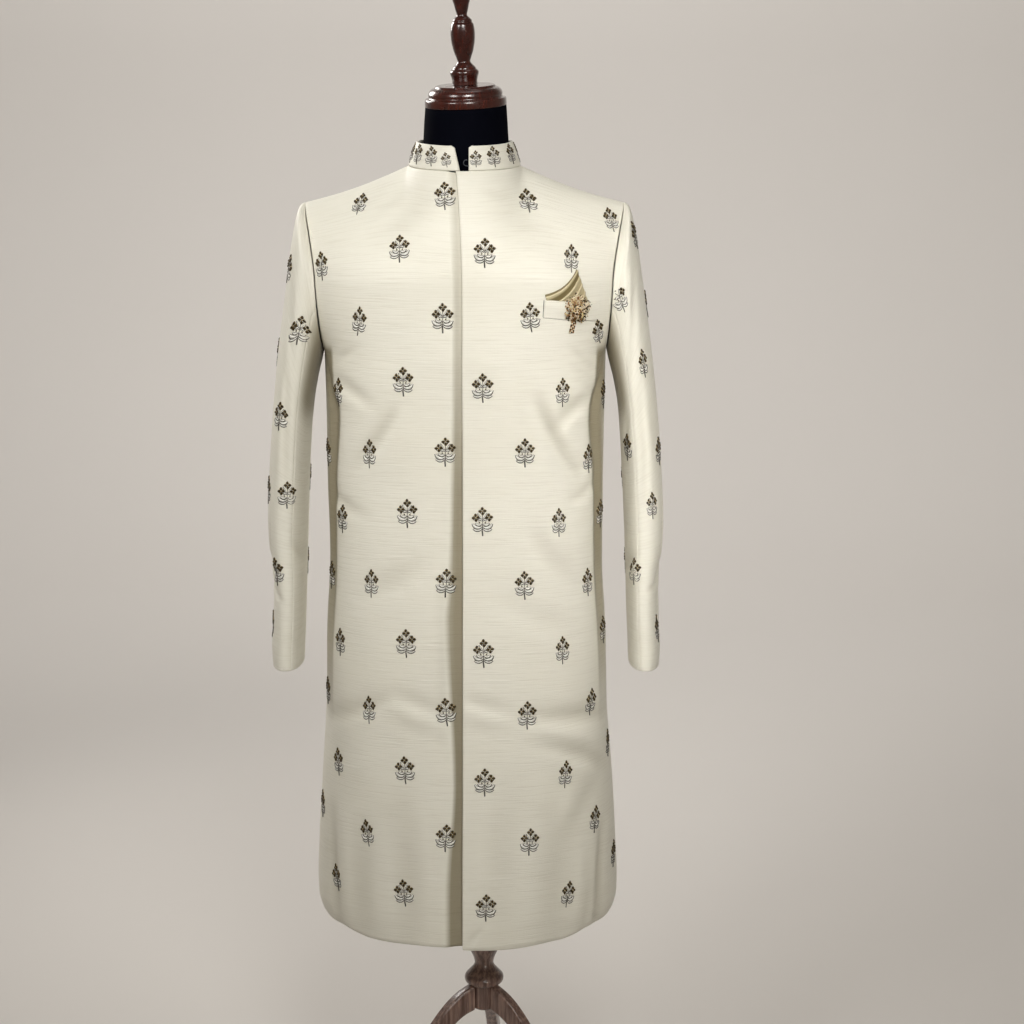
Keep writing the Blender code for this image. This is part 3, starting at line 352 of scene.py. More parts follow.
FRONT_LEFT_SPRIGS = (
    SprigColumn(0.0262, 1.3805, 1.1985, 0.1846, 6),
    SprigColumn(0.0866, 1.4440, 1.2930, 0.1845, 6, 0.95),
    SprigColumn(0.1385, 1.3750, 1.1896, 0.1803, 6),
    SprigColumn(0.1890, 1.4480, 1.2672, 0.1740, 6, 1.03),
    SprigColumn(0.2350, 1.1757, 1.0082, 0.1687, 5),
)
FRONT_RIGHT_SPRIGS = (
    SprigColumn(0.0262, 1.4580, 1.2925, 0.1822, 6, 0.72),
    SprigColumn(0.0822, 1.3830, 1.2065, 0.1820, 6, 0.97),
    SprigColumn(0.1370, 1.4560, 1.2860, 0.1810, 6),
    SprigColumn(0.1880, 1.3680, 1.1850, 0.1760, 6),
    SprigColumn(0.2350, 1.0950, 0.9200, 0.1700, 4),
)
BACK_LEFT_SPRIGS = (
    SprigColumn(0.0290, 1.4560, 1.2800, 0.1840, 6),
    SprigColumn(0.0850, 1.3720, 1.1880, 0.1840, 6),
    SprigColumn(0.1400, 1.4560, 1.2800, 0.1810, 6),
    SprigColumn(0.1900, 1.3700, 1.1820, 0.1780, 6),
    SprigColumn(0.2350, 1.0950, 0.9200, 0.1700, 4),
)
BACK_RIGHT_SPRIGS = (
    SprigColumn(0.0270, 1.3720, 1.1880, 0.1840, 6),
    SprigColumn(0.0830, 1.4560, 1.2800, 0.1840, 6),
    SprigColumn(0.1380, 1.3700, 1.1860, 0.1810, 6),
    SprigColumn(0.1890, 1.4520, 1.2700, 0.1780, 6),
    SprigColumn(0.2350, 1.1760, 1.0080, 0.1690, 4),
)


class GirthShare(NamedTuple):
    """How far the columns of sprigs spread at a height, for the body's shaping."""

    z: float
    share: float


GIRTH_SHARES = (
    GirthShare(0.440, 1.095),
    GirthShare(0.557, 1.045),
    GirthShare(0.645, 1.035),
    GirthShare(0.740, 1.000),
    GirthShare(0.830, 0.990),
    GirthShare(0.925, 0.950),
    GirthShare(1.014, 0.945),
    GirthShare(1.109, 0.955),
    GirthShare(1.200, 0.985),
    GirthShare(1.294, 1.035),
    GirthShare(1.385, 1.050),
    GirthShare(1.480, 1.000),
)


class SprigPlace(NamedTuple):
    """Single sprig: angle round the sleeve or collar in degrees, height, size, lean in degrees, share of its width."""

    angle: float
    height: float
    size: float = 1.0
    lean: float = 0.0
    width: float = 1.0

    @property
    def across(self) -> bool:
        """Whether it lies over the front seam of a sleeve."""
        return 88 < self.angle < 142 and self.height > 0.1


SLEEVE_LEFT_SPRIGS = (
    SprigPlace(28, 1.395, 1.0, 14), SprigPlace(96, 1.313, 1.0, 10), SprigPlace(8, 1.298, 0.95),
    SprigPlace(68, 1.224, 1.0, 2, 0.58), SprigPlace(137, 1.104, 0.95), SprigPlace(35, 1.097, 1.0, -4),
    SprigPlace(74, 1.025, 0.95, 0, 0.62), SprigPlace(125, 0.930, 0.95), SprigPlace(37, 0.847, 1.0, 4, 0.70),
    SprigPlace(-26, 1.190), SprigPlace(-26, 1.000), SprigPlace(-58, 1.290), SprigPlace(-58, 1.090),
    SprigPlace(-52, 0.880), SprigPlace(-92, 1.180), SprigPlace(-92, 0.980), SprigPlace(-88, 0.848),
)
SLEEVE_RIGHT_SPRIGS = (
    SprigPlace(34, 1.350, 1.0, 8), SprigPlace(92, 1.270, 1.0, 4), SprigPlace(4, 1.230), SprigPlace(66, 1.150),
    SprigPlace(26, 1.040), SprigPlace(96, 1.040, 0.95), SprigPlace(58, 0.930), SprigPlace(20, 0.850, 0.95),
    SprigPlace(-26, 1.140), SprigPlace(-28, 0.945), SprigPlace(-58, 1.240), SprigPlace(-58, 1.040),
    SprigPlace(-92, 1.310), SprigPlace(-92, 1.140), SprigPlace(-88, 0.850),
)
UNDER_SLEEVE_SPRIGS = (SprigPlace(204, 1.045, 0.95), SprigPlace(206, 0.925, 0.95))
COLLAR_LEFT_SPRIGS = (
    SprigPlace(13.5, 0.0150, 0.56), SprigPlace(34.5, 0.0170, 0.72), SprigPlace(63.0, 0.0180, 0.72),
    SprigPlace(92.0, 0.0165, 0.72), SprigPlace(121.0, 0.0165, 0.72), SprigPlace(151.0, 0.0160, 0.72),
)
COLLAR_RIGHT_SPRIGS = (
    SprigPlace(18.5, 0.0135, 0.50), SprigPlace(37.5, 0.0175, 0.70), SprigPlace(60.0, 0.0180, 0.72),
    SprigPlace(80.0, 0.0175, 0.72), SprigPlace(108.0, 0.0165, 0.72), SprigPlace(137.0, 0.0165, 0.72),
    SprigPlace(165.0, 0.0160, 0.72),
)


def relief(u: Array, v: Array, creases: Sequence[Crease]) -> Array:
    """Inward depth of a panel's creases at each of its points.

    Args:
        u: Distances round.
        v: Heights.
        creases: Troughs and ridges.

    Returns:
        Depths, of the shape of u.
    """
    total = np.zeros_like(u)
    for crease in creases:
        du, dv = crease.u1 - crease.u0, crease.v1 - crease.v0
        span = math.hypot(du, dv)
        along = ((u - crease.u0) * du + (v - crease.v0) * dv) / span ** 2
        across = ((u - crease.u0) * dv - (v - crease.v0) * du) / span
        across = across - crease.bend * np.sin(np.pi * np.clip(along, 0.0, 1.0))
        beyond = np.maximum(np.maximum(-along, along - 1.0), 0.0) * span
        fade = np.exp(-(beyond / (1.2 * crease.width)) ** 2)
        fade = fade * (0.35 + 0.65 * np.sin(np.pi * np.clip(0.05 + 0.9 * along, 0.0, 1.0)))
        trough = np.exp(-(across / crease.width) ** 2)
        shoulder = np.exp(-((across - 1.9 * crease.width) / (1.1 * crease.width)) ** 2)
        total = total + crease.depth * fade * (trough - 0.4 * shoulder)
    return total


def ripple(u: Array, v: Array, phase: float) -> Array:
    """Small soft unevenness of hanging silk, as an inward depth."""
    slow = np.sin(u * 37.0 + 1.3 * phase) * np.sin(v * 23.0 + phase) + 0.6 * np.sin(u * 61.0 - v * 31.0 + 2.1 * phase)
    fast = np.sin(v * 96.0 + 9.0 * np.sin(u * 17.0 + phase)) * np.sin(u * 44.0 + 0.7 * phase)
    return 0.00030 * slow + 0.00010 * fast


@dataclass
class Surface:
    """Outer face of a piece of cloth as a grid, rows rising, with each point's place on the cloth."""

    points: Array
    u: Array
    v: Array
    key: Array
    normals: Array = field(init=False)
    outward: float = 1.0
    # Painted shade at each point, from 0 to 1, that darkens the cloth's colour.
    shade: Array | None = None

    def __post_init__(self) -> None:
        """Work out the outward directions."""
        self.refresh()

    def refresh(self) -> None:
        """Work out the outward directions of the grid as it is now."""
        across = np.gradient(self.points, axis=1)
        up = np.gradient(self.points, axis=0)
        normals = np.cross(across, up) * self.outward
        self.normals = normals / np.maximum(np.linalg.norm(normals, axis=-1, keepdims=True), 1e-12)

    def push_in(self, depth: Array) -> None:
        """Move the grid inwards by a depth at each point."""
        self.points = self.points - self.normals * depth[..., None]
        self.refresh()

    def mirrored(self) -> "Surface":
        """The same cloth on the other side of the middle plane."""
        flip = np.array([-1.0, 1.0, 1.0])
        return Surface(self.points * flip, self.u, self.v, self.key, outward=-self.outward, shade=self.shade)

    def locate(self, key: float, height: float) -> tuple[float, float]:
        """Row and column of a place.

        Args:
            key: Distance round, or the angle on a sleeve or collar.
            height: Height on the cloth.

        Returns:
            Row and column, with their fractions.
        """
        rows = len(self.v)
        row = float(np.interp(height, self.v[:, 0], np.arange(rows)))
        low = min(int(row), rows - 2)
        line = self.key[low] * (1.0 - row + low) + self.key[low + 1] * (row - low)
        return row, float(np.interp(key, line, np.arange(len(line))))

    def sample(self, grid: Array, rows: Array, columns: Array) -> Array:
        """Values of a grid at places between its points."""
        last_row, last_column = grid.shape[0] - 1, grid.shape[1] - 1
        rows = np.clip(rows, 0.0, last_row)
        columns = np.clip(columns, 0.0, last_column)
        r, c = np.minimum(rows.astype(int), last_row - 1), np.minimum(columns.astype(int), last_column - 1)
        fr, fc = (rows - r)[..., None], (columns - c)[..., None]
        low = grid[r, c] * (1.0 - fc) + grid[r, c + 1] * fc
        high = grid[r + 1, c] * (1.0 - fc) + grid[r + 1, c + 1] * fc
        return low * (1.0 - fr) + high * fr

    def at(self, rows: Array, columns: Array, lift: Array) -> Array:
        """Points that stand a lift off the cloth at places on its grid."""
        normals = self.sample(self.normals, rows, columns)
        normals = normals / np.linalg.norm(normals, axis=-1, keepdims=True)
        return self.sample(self.points, rows, columns) + normals * lift[..., None]

    def spread(self, row: float, column: float, flat: Array, lean: float) -> tuple[Array, Array]:
        """Rows and columns of a flat drawing's points, laid on the cloth round a place.

        Args:
            row: Row of the drawing's middle.
            column: Column of its middle.
            flat: Points of the drawing, across and up, in metres.
            lean: Anticlockwise turn in degrees.

        Returns:
            Rows and columns, which may lie off the grid.
        """
        up_line = self.sample(self.points, np.arange(self.points.shape[0]), np.full(self.points.shape[0], column))
        over_line = self.sample(self.points, np.full(self.points.shape[1], row), np.arange(self.points.shape[1]))
        up_way, over_way = Way(up_line), Way(over_line)
        rise, along = up_way.tangent(row), over_way.tangent(column)
        normal = np.cross(along, rise) * self.outward
        normal = normal / np.linalg.norm(normal)
        right = np.cross(rise, normal)
        right = right / np.linalg.norm(right)
        up = np.cross(normal, right)
        turn = math.radians(lean)
        across = flat[:, 0] * math.cos(turn) - flat[:, 1] * math.sin(turn)
        height = flat[:, 0] * math.sin(turn) + flat[:, 1] * math.cos(turn)
        offset = across[:, None] * right + height[:, None] * up
        solved = np.linalg.pinv(np.stack([rise, along], axis=1)) @ offset.T
        return up_way.moved(row, solved[0]), over_way.moved(column, solved[1])


class Way:
    """Line of points with the distance along it."""

    def __init__(self, line: Array) -> None:
        """Measure the line."""
        self.line = line
        self.lengths = np.concatenate([[0.0], np.cumsum(np.linalg.norm(np.diff(line, axis=0), axis=1))])
        self.index = np.arange(len(line), dtype=float)

    def at(self, index: float) -> Array:
        """Point at an index with its fraction."""
        return np.array([np.interp(index, self.index, self.line[:, axis]) for axis in range(3)])

    def moved(self, index: float, distance: Array) -> Array:
        """Indices some distance along from an index; past an end they run on at the end's spacing."""
        target = np.interp(index, self.index, self.lengths) + distance
        found = np.interp(target, self.lengths, self.index)
        first, last = self.lengths[1], self.lengths[-1] - self.lengths[-2]
        found = np.where(target < 0.0, target / max(first, 1e-6), found)
        return np.where(target > self.lengths[-1], self.index[-1] + (target - self.lengths[-1]) / max(last, 1e-6),
                        found)

    def tangent(self, index: float, reach: float = 0.009) -> Array:
        """Direction of the line about an index."""
        low, high = self.moved(index, np.array([-reach, reach]))
        step = self.at(min(high, self.index[-1])) - self.at(max(low, 0.0))
        return step / np.linalg.norm(step)


def link_piece(name: str, vertices: Array, faces: Sequence[Sequence[int]], finishes: Sequence[bpy.types.Material],
               material_of: Sequence[int] | None = None) -> bpy.types.Object:
    """Make a smooth piece, facing out, that rides on the part's body.

    Args:
        name: Name of the piece.
        vertices: Points.
        faces: Corners of each face.
        finishes: Materials.
        material_of: Index of each face's material.

    Returns:
        The new object.
    """
    mesh = bpy.data.meshes.new(name)
    mesh.from_pydata([tuple(map(float, vertex)) for vertex in vertices], [], [tuple(face) for face in faces])
    for finish in finishes:
        mesh.materials.append(finish)
    if material_of is not None:
        mesh.polygons.foreach_set("material_index", np.asarray(material_of, dtype=np.int32))
    working = bmesh.new()
    working.from_mesh(mesh)
    bmesh.ops.recalc_face_normals(working, faces=working.faces)
    working.to_mesh(mesh)
    working.free()
    mesh.shade_smooth()
    piece = bpy.data.objects.new(name, mesh)
    bpy.context.scene.collection.objects.link(piece)
    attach(piece, BODY)
    LOG.info("%s: %d faces", name, len(mesh.polygons))
    return piece


def map_cloth(piece: bpy.types.Object, u: Array, v: Array) -> None:
    """Give each corner its place on the cloth, in metres, for the weave."""
    layer = piece.data.uv_layers.new(name=CLOTH_MAP)
    corners = np.empty(len(piece.data.loops), dtype=np.int32)
    piece.data.loops.foreach_get("vertex_index", corners)
    layer.uv.foreach_set("vector", np.stack([u[corners], v[corners]], axis=-1).astype(np.float32).ravel())


def cloth_shell(name: str, surface: Surface, wall: float, finish: bpy.types.Material,
                lining: bpy.types.Material | None = None) -> bpy.types.Object:
    """Closed thin shell inside a surface, with rounded edges.

    Args:
        name: Name of the piece.
        surface: Outer face.
        wall: Thickness.
        finish: Material of the cloth.
        lining: Material of the inner face, if it is another one.

    Returns:
        The new object.
    """
    rows, columns = surface.u.shape
    outer = surface.points.reshape(-1, 3)
    inner = (surface.points - surface.normals * wall).reshape(-1, 3)
    count = rows * columns
    faces: list[tuple[int, ...]] = []
    tones: list[int] = []
    for row in range(rows - 1):
        for column in range(columns - 1):
            first = row * columns + column
            quad = (first, first + 1, first + columns + 1, first + columns)
            faces += [quad, tuple(index + count for index in reversed(quad))]
            tones += [0, 1 if lining else 0]
    border = [(0, c) for c in range(columns)]
    border += [(r, columns - 1) for r in range(1, rows)]
    border += [(rows - 1, c) for c in range(columns - 2, -1, -1)]
    border += [(r, 0) for r in range(rows - 2, 0, -1)]
    rims = []
    for r, c in border:
        inside = surface.points[min(max(r, 1), rows - 2), min(max(c, 1), columns - 2)]
        away = surface.points[r, c] - inside
        away = away / max(np.linalg.norm(away), 1e-9)
        middle = surface.points[r, c] - surface.normals[r, c] * wall / 2
        rims.append(middle + away * wall * 0.42)
    for index, (r, c) in enumerate(border):
        after = (index + 1) % len(border)
        start, end = r * columns + c, border[after][0] * columns + border[after][1]
        faces += [(start, 2 * count + index, 2 * count + after, end),
                  (2 * count + index, start + count, end + count, 2 * count + after)]
        tones += [0, 0]
    piece = link_piece(name, np.concatenate([outer, inner, np.array(rims)]), faces,
                       [finish, lining] if lining else [finish], tones)
    edge = [r * columns + c for r, c in border]
    u, v = surface.u.ravel(), surface.v.ravel()
    map_cloth(piece, np.concatenate([u, u, u[edge]]), np.concatenate([v, v, v[edge]]))
    # The painted shade goes on as the shade point attribute, which the silk and satin multiply into their colour.
    if surface.shade is not None:
        shade = np.clip(surface.shade, 0.0, 1.0).ravel()
        tone = piece.data.attributes.new(SHADE, "FLOAT", "POINT")
        tone.data.foreach_set("value", np.concatenate([shade, shade, shade[edge]]).astype(np.float32))
    return piece


Level = tuple[str, float]
Place = tuple[float, float, float, float, float]


@dataclass
class BodyForm:
    """Plain surface of the coat's body, from its level sections, yoke, neckline and shoulders."""

    hem_z: float = 0.400
    hem_ease_z: float = 0.416
    hem_side_lift: float = 0.0070
    underarm_z: float = 1.235
    yoke_z: float = 1.330
    neck_front_z: float = 1.4825
    neck_side_z: float = 1.4860
    neck_back_z: float = 1.4885
    shoulder_z: float = 1.4358
    shoulder_x: float = 0.2186
    neck_x: float = 0.0765
    neck_front_y: float = 0.0750
    neck_back_y: float = 0.0680
    shoulder_sag: float = 0.0048
    armhole_depth: float = 0.0750
    armhole_yoke_x: float = 0.2012
    neck_fraction: float = 5 / 14
    top_ease: float = 0.11
    yoke_height: float = 0.187
    row_step: float = 0.0060
    samples: int = 240
    lines: dict[tuple[Side, float], tuple[Array, Array]] = field(default_factory=dict)

    def edge(self, z: float) -> tuple[float, float]:
        """Side seam or armhole point of a level section, as x and the distance in y from the seam plane."""
        if z <= self.underarm_z:
            return column_at(BODY_RINGS, "half_width", z), 0.0
        lift = (self.yoke_z - z) / (self.yoke_z - self.underarm_z)
        side_x = column_at(BODY_RINGS, "half_width", self.underarm_z)
        return (self.armhole_yoke_x + (side_x - self.armhole_yoke_x) * lift,
                self.armhole_depth * math.sqrt(max(1.0 - lift * lift, 0.0)))

    def line(self, side: Side, z: float) -> tuple[Array, Array]:
        """Level section from the middle line to its edge, and the distance along it."""
        key = (side, round(z, 6))
        if key not in self.lines:
            depth = column_at(BODY_RINGS, side.value, z)
            power = column_at(BODY_RINGS, "squareness", z)
            edge_x, edge_y = self.edge(z)
            edge_share = (edge_y / depth) ** power
            half_width = edge_x / (1.0 - edge_share) ** (1.0 / power)
            angles = np.linspace(0.0, math.acos(min(edge_share ** 0.5, 1.0)), self.samples + 1)
            line = np.stack([half_width * np.sin(angles) ** (2.0 / power),
                             side.facing * depth * np.maximum(np.cos(angles), 0.0) ** (2.0 / power)], axis=-1)
            steps = np.linalg.norm(np.diff(line, axis=0), axis=1)
            self.lines[key] = (line, np.concatenate([[0.0], np.cumsum(steps)]))
        return self.lines[key]

    def section(self, side: Side, z: float, fractions: Array) -> Array:
        """Points at fractions of a level section; negative ones lie past the middle line."""
        line, lengths = self.line(side, z)
        target = np.abs(fractions) * lengths[-1]
        x = np.interp(target, lengths, line[:, 0]) * np.where(fractions < 0, -1.0, 1.0)
        return np.stack([x, np.interp(target, lengths, line[:, 1]), np.full_like(x, z)], axis=-1)

    def neck(self, side: Side, angles: Array) -> Array:
        """Points of the neckline, from the middle line at 0 to the side of the neck at a right angle."""
        depth = -self.neck_front_y if side is Side.FRONT else self.neck_back_y
        middle_z = self.neck_front_z if side is Side.FRONT else self.neck_back_z
        return np.stack([self.neck_x * np.sin(angles), depth * np.cos(angles),
                         self.neck_side_z + (middle_z - self.neck_side_z) * np.cos(angles)], axis=-1)

    def top(self, side: Side, fractions: Array) -> Array:
        """Points of the neckline and shoulder seam that the body's columns end at."""
        share = np.abs(fractions)
        neck = self.neck(side, np.clip(share / self.neck_fraction, 0.0, 1.0) * math.pi / 2)
        along = np.clip((share - self.neck_fraction) / (1.0 - self.neck_fraction), 0.0, 1.0)
        shoulder = np.stack([self.neck_x + (self.shoulder_x - self.neck_x) * along, np.zeros_like(along),
                             self.neck_side_z + (self.shoulder_z - self.neck_side_z) * along
                             - self.shoulder_sag * np.sin(np.pi * along)], axis=-1)
        points = np.where((share <= self.neck_fraction)[..., None], neck, shoulder)
        points[..., 0] *= np.where(fractions < 0, -1.0, 1.0)
        return points

    def yoke(self, side: Side, rise: float, fractions: Array) -> Array:
        """Points of the chest or shoulder blade surface between the yoke level and the top edge."""
        start = self.section(side, self.yoke_z, fractions)
        share = np.minimum(np.abs(fractions), 1.0)
        first = start.copy()
        first[..., 2] += 0.050 + 0.012 * np.sin(np.pi * share) - 0.014 * share
        second = np.zeros_like(start)
        eased_end = np.zeros_like(start)
        steps = np.linspace(-2.2, 2.2, 19)
        for step in steps:
            closer = np.clip(fractions + step * self.top_ease * (1.0 - share) * (1.0 - rise), -1.0, 1.0)
            eased_end = eased_end + self.top(side, closer) / len(steps)
            near = np.clip(fractions + step * self.top_ease * (1.0 - share), -1.0, 1.0)
            neck_share = 1.0 - smoothstep(0.0, 1.6 * self.neck_fraction, np.abs(near))
            pull = np.stack([np.zeros_like(near), side.facing * (0.036 - 0.008 * neck_share),
                             -0.018 * neck_share], axis=-1)
            second = second + (self.top(side, near) + pull) / len(steps)
        fall = 1.0 - rise
        return (start * fall ** 3 + first * (3 * fall * fall * rise) + second * (3 * fall * rise * rise)
                + eased_end * rise ** 3)

    def point(self, side: Side, level: Level, fractions: Array) -> Array:
        """Points of the plain body surface on a level."""
        kind, value = level
        return self.section(side, value, fractions) if kind == "section" else self.yoke(side, value, fractions)

    def length(self, side: Side, level: Level) -> float:
        """Length of a level from the middle line to its edge."""
        return float(self.line(side, level[1] if level[0] == "section" else self.yoke_z)[1][-1])

    def height(self, level: Level) -> float:
        """Height of a level on the cloth."""
        return level[1] if level[0] == "section" else self.yoke_z + self.yoke_height * level[1]

    def edge_height(self, level: Level) -> float:
        """Height at which the front edge's table is read."""
        if level[0] == "section":
            return level[1]
        return self.yoke_z + (self.neck_front_z - self.yoke_z) * level[1]

    def levels(self) -> list[Level]:
        """Levels of the rows, from the hem up."""
        sections = list(np.linspace(self.hem_z, self.underarm_z,
                                    round((self.underarm_z - self.hem_z) / self.row_step) + 1))[:-1]
        for angle in np.linspace(0.0, math.pi / 2, 16):
            sections.append(self.yoke_z - (self.yoke_z - self.underarm_z) * math.cos(angle))
        yoke = np.concatenate([np.linspace(0.0, 0.94, 31)[1:], [0.965, 0.983, 0.993, 1.0]])
        return [("section", float(z)) for z in sections] + [("yoke", float(rise)) for rise in yoke]

    def fraction_at(self, side: Side, level: Level, places: Array) -> Array:
        """Fractions of a level at which it crosses places near the middle."""
        fractions = np.linspace(-0.4, 0.4, 161)
        return np.interp(places, self.point(side, level, fractions)[:, 0], fractions)

    def to_side(self, side: Side, level: Level, first: float, neck_columns: int) -> Array:
        """Fractions from a first one to the side, with one at the side of the neck and closer ones at the seam."""
        length = self.length(side, level)
        last = 1.0 - SEAM_HALF_GAP / length
        to_neck = np.linspace(first, self.neck_fraction, neck_columns + 1)[:-1]
        to_seam = np.linspace(self.neck_fraction, last - 0.0060 / length, 50)
        return np.concatenate([to_neck, to_seam, last - np.array([0.0034, 0.0018, 0.0008, 0.0]) / length])

    def build(self, side: Side, columns: Callable[[Level], Array], creases: Sequence[Crease], phase: float,
              sink: Callable[[Level, Array], Array] | None = None, dip: float = 0.0) -> Surface:
        """Outer face of one panel on the wearer's left.

        Args:
            side: Front or back.
            columns: Fractions of the panel's columns on a level.
            creases: The panel's creases.
            phase: Phase of its small unevenness.
            sink: Depth below the plain surface, from a level and the points' x.
            dip: How far the hem hangs lower beside the free edge.

        Returns:
            The panel's surface.
        """
        levels = self.levels()
        points, girth, height, depth, tone = [], [], [], [], []
        for level in levels:
            fractions = columns(level)
            row = self.point(side, level, fractions)
            length = self.length(side, level)
            points.append(row)
            girth.append(fractions * length)
            height.append(np.full(len(fractions), self.height(level)))
            below = self.large_folds(side, level, fractions, length)
            seam = 0.0007 * np.exp(-((1.0 - fractions) * length / 0.0016) ** 2)
            if level[0] == "yoke":
                seam = np.maximum(seam, 0.0007 * math.exp(-((1.0 - level[1]) * 0.17 / 0.0016) ** 2)
                                  * (np.abs(fractions) > self.neck_fraction))
            sunk = sink(level, row[:, 0]) if sink else np.zeros_like(fractions)
            depth.append(below + seam + sunk)
            # Painted shade: the sunk strip beside the overlapping front is darkened by its depth, more strongly low
            # down, and the side behind the fold crest is darkened too.
            strength = 0.98 - 0.60 * float(smoothstep(0.98, 1.34, self.height(level)))
            tone.append(np.clip(sunk / 0.0026, 0.0, 1.0) * strength + self.painted_fold_shade(side, level, girth[-1]))
        u, v = np.array(girth), np.array(height)
        outward = 1.0 if side is Side.FRONT else -1.0
        surface = Surface(np.array(points), u, v, u, outward=outward)
        hem_step = 0.00035 * smoothstep(0.0, 0.0016, v - self.hem_z - 0.038)
        calm = 1.0 - 0.8 * smoothstep(1.20, 1.34, v)
        folds = relief(u, v, creases)
        # Painted shade: the creases' troughs darken the colour by their depth.
        surface.shade = np.array(tone) + 85.0 * np.maximum(folds, 0.0)
        surface.push_in(np.array(depth) + folds + ripple(u, v, phase) * calm + hem_step)
        x = surface.points[..., 0]
        rise = self.hem_side_lift * smoothstep(0.135, 0.182, x) - dip * np.exp(-((x - 0.045) / 0.080) ** 2)
        surface.points[..., 2] += rise * (1.0 - smoothstep(self.hem_z, self.hem_ease_z, v))
        surface.points[..., 1] += PART_Y
        surface.refresh()
        return surface

    def painted_fold_shade(self, side: Side, level: Level, girth: Array) -> Array:
        """Painted shade of the front's side behind the crest of its fold, from distances round."""
        if side is Side.BACK or level[0] != "section" or not SIDE_FOLD[0].z < level[1]:
            return np.zeros_like(girth)
        z = level[1]
        line, lengths = self.line(side, z)
        crest = min(column_at(SIDE_FOLD, "x", z), 0.1775) if z > 1.0 else column_at(SIDE_FOLD, "x", z)
        behind = girth - float(np.interp(crest, line[:, 0], lengths))
        share = min(column_at(SIDE_FOLD, "depth", min(z, 1.19)) / 0.0045, 1.0)
        share *= 1.0 - float(smoothstep(1.236, 1.252, z))
        return share * smoothstep(0.001, 0.009, behind) * (1.0 - 0.6 * smoothstep(0.030, 0.060, behind))

    def large_folds(self, side: Side, level: Level, fractions: Array, length: float) -> Array:
        """Inward depth of the back's flutes and the front's side fold."""
        depth = np.zeros_like(fractions)
        if level[0] != "section":
            return depth
        z = level[1]
        if side is Side.BACK:
            reach = float(1.0 - smoothstep(self.hem_z, 0.900, z))
            for middle, fold in ((0.30, 0.0045), (0.72, 0.0060)):
                depth += reach * fold * np.exp(-((fractions - middle) / 0.11) ** 2)
        elif SIDE_FOLD[0].z < z < SIDE_FOLD[-1].z:
            line, lengths = self.line(side, z)
            crest = float(np.interp(column_at(SIDE_FOLD, "x", z), line[:, 0], lengths))
            behind = (fractions * length - crest - 0.018) / 0.012
            depth += 1.15 * column_at(SIDE_FOLD, "depth", z) * np.exp(-behind * behind)
        return depth


@dataclass
class CoatBody:
    """Two fronts and two backs of the coat."""

    form: BodyForm
    silk: bpy.types.Material
    underlap: float = 0.030
    underlap_low: float = 0.0056
    underlap_skirt: float = 0.0014
    underlap_ease: float = 0.003
    hem_dip: float = 0.0052
    neck_columns: int = 28
    surfaces: dict[str, Surface] = field(default_factory=dict)

    def left_columns(self, level: Level) -> Array:
        """Columns of the wearer's left front, from its free edge to the side."""
        edge = column_at(FRONT_EDGE, "x", self.form.edge_height(level))
        first = float(self.form.fraction_at(Side.FRONT, level, np.array([edge]))[0])
        return self.form.to_side(Side.FRONT, level, first, self.neck_columns)

    def right_columns(self, level: Level) -> Array:
        """Columns of the wearer's right front: under the other front, its sunk strip, then to the side."""
        height = self.form.edge_height(level)
        edge = -column_at(FRONT_EDGE, "x", height)
        strip = edge + column_at(FRONT_EDGE, "strip", height)
        lap = self.underlap * (1.0 - 0.35 * float(smoothstep(self.form.yoke_z, self.form.neck_front_z, height)))
        places = np.concatenate([np.linspace(edge - lap, edge, 8)[:-1], np.linspace(edge, strip, 5)[:-1],
                                 np.linspace(strip, strip + self.underlap_ease, 6)])
        fractions = self.form.fraction_at(Side.FRONT, level, places)
        rest = self.form.to_side(Side.FRONT, level, float(fractions[-1]) + 0.014, self.neck_columns - 8)
        return np.concatenate([fractions, rest])

    def right_sink(self, level: Level, x: Array) -> Array:
        """How far the wearer's right front lies under the plain surface beside and below the overlap."""
        height = self.form.edge_height(level)
        edge = -column_at(FRONT_EDGE, "x", height)
        strip = column_at(FRONT_EDGE, "strip", height) + edge
        share = np.clip((strip + self.underlap_ease - x) / (strip + self.underlap_ease - edge), 0.0, 1.0)
        low = self.underlap_low + self.underlap_skirt * (1.0 - float(smoothstep(0.46, 1.02, height)))
        low *= 1.0 - 0.45 * float(smoothstep(1.25, 1.45, height))
        return low * (0.55 * smoothstep(0.0, 1.0, share) + 0.45 * np.clip(share * 1.6, 0.0, 1.0))

    def back_columns(self, level: Level) -> Array:
        """Columns of a back panel, from the middle seam to the side."""
        length = self.form.length(Side.BACK, level)
        start = np.array([SEAM_HALF_GAP, 0.0009, 0.0019, 0.0034]) / length
        return np.concatenate([start, self.form.to_side(Side.BACK, level, 0.0062 / length, self.neck_columns)])

    def back_seam(self, level: Level, x: Array) -> Array:
        """Depth of the groove at the middle back seam."""
        return 0.0007 * np.exp(-(x / 0.0016) ** 2)

    def build(self) -> dict[str, bpy.types.Object]:
        """Make the four panels.

        Returns:
            The pieces by the names of the solids that they stand for.
        """
        form = self.form
        left = form.build(Side.FRONT, self.left_columns, FRONT_LEFT_CREASES, 0.4, dip=self.hem_dip)
        right = form.build(Side.FRONT, self.right_columns, FRONT_RIGHT_CREASES, 1.9, sink=self.right_sink)
        back_left = form.build(Side.BACK, self.back_columns, BACK_LEFT_CREASES, 3.1, sink=self.back_seam)
        back_right = form.build(Side.BACK, self.back_columns, BACK_RIGHT_CREASES, 4.7, sink=self.back_seam)
        self.surfaces = {"front_left": left, "front_right": right.mirrored(),
                         "back_left": back_left, "back_right": back_right.mirrored()}
        pieces = {}
        for node, surface in self.surfaces.items():
            piece = cloth_shell(f"silk_{node}", surface, WALL, self.silk)
            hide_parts(node)
            pieces[node] = piece
        return pieces


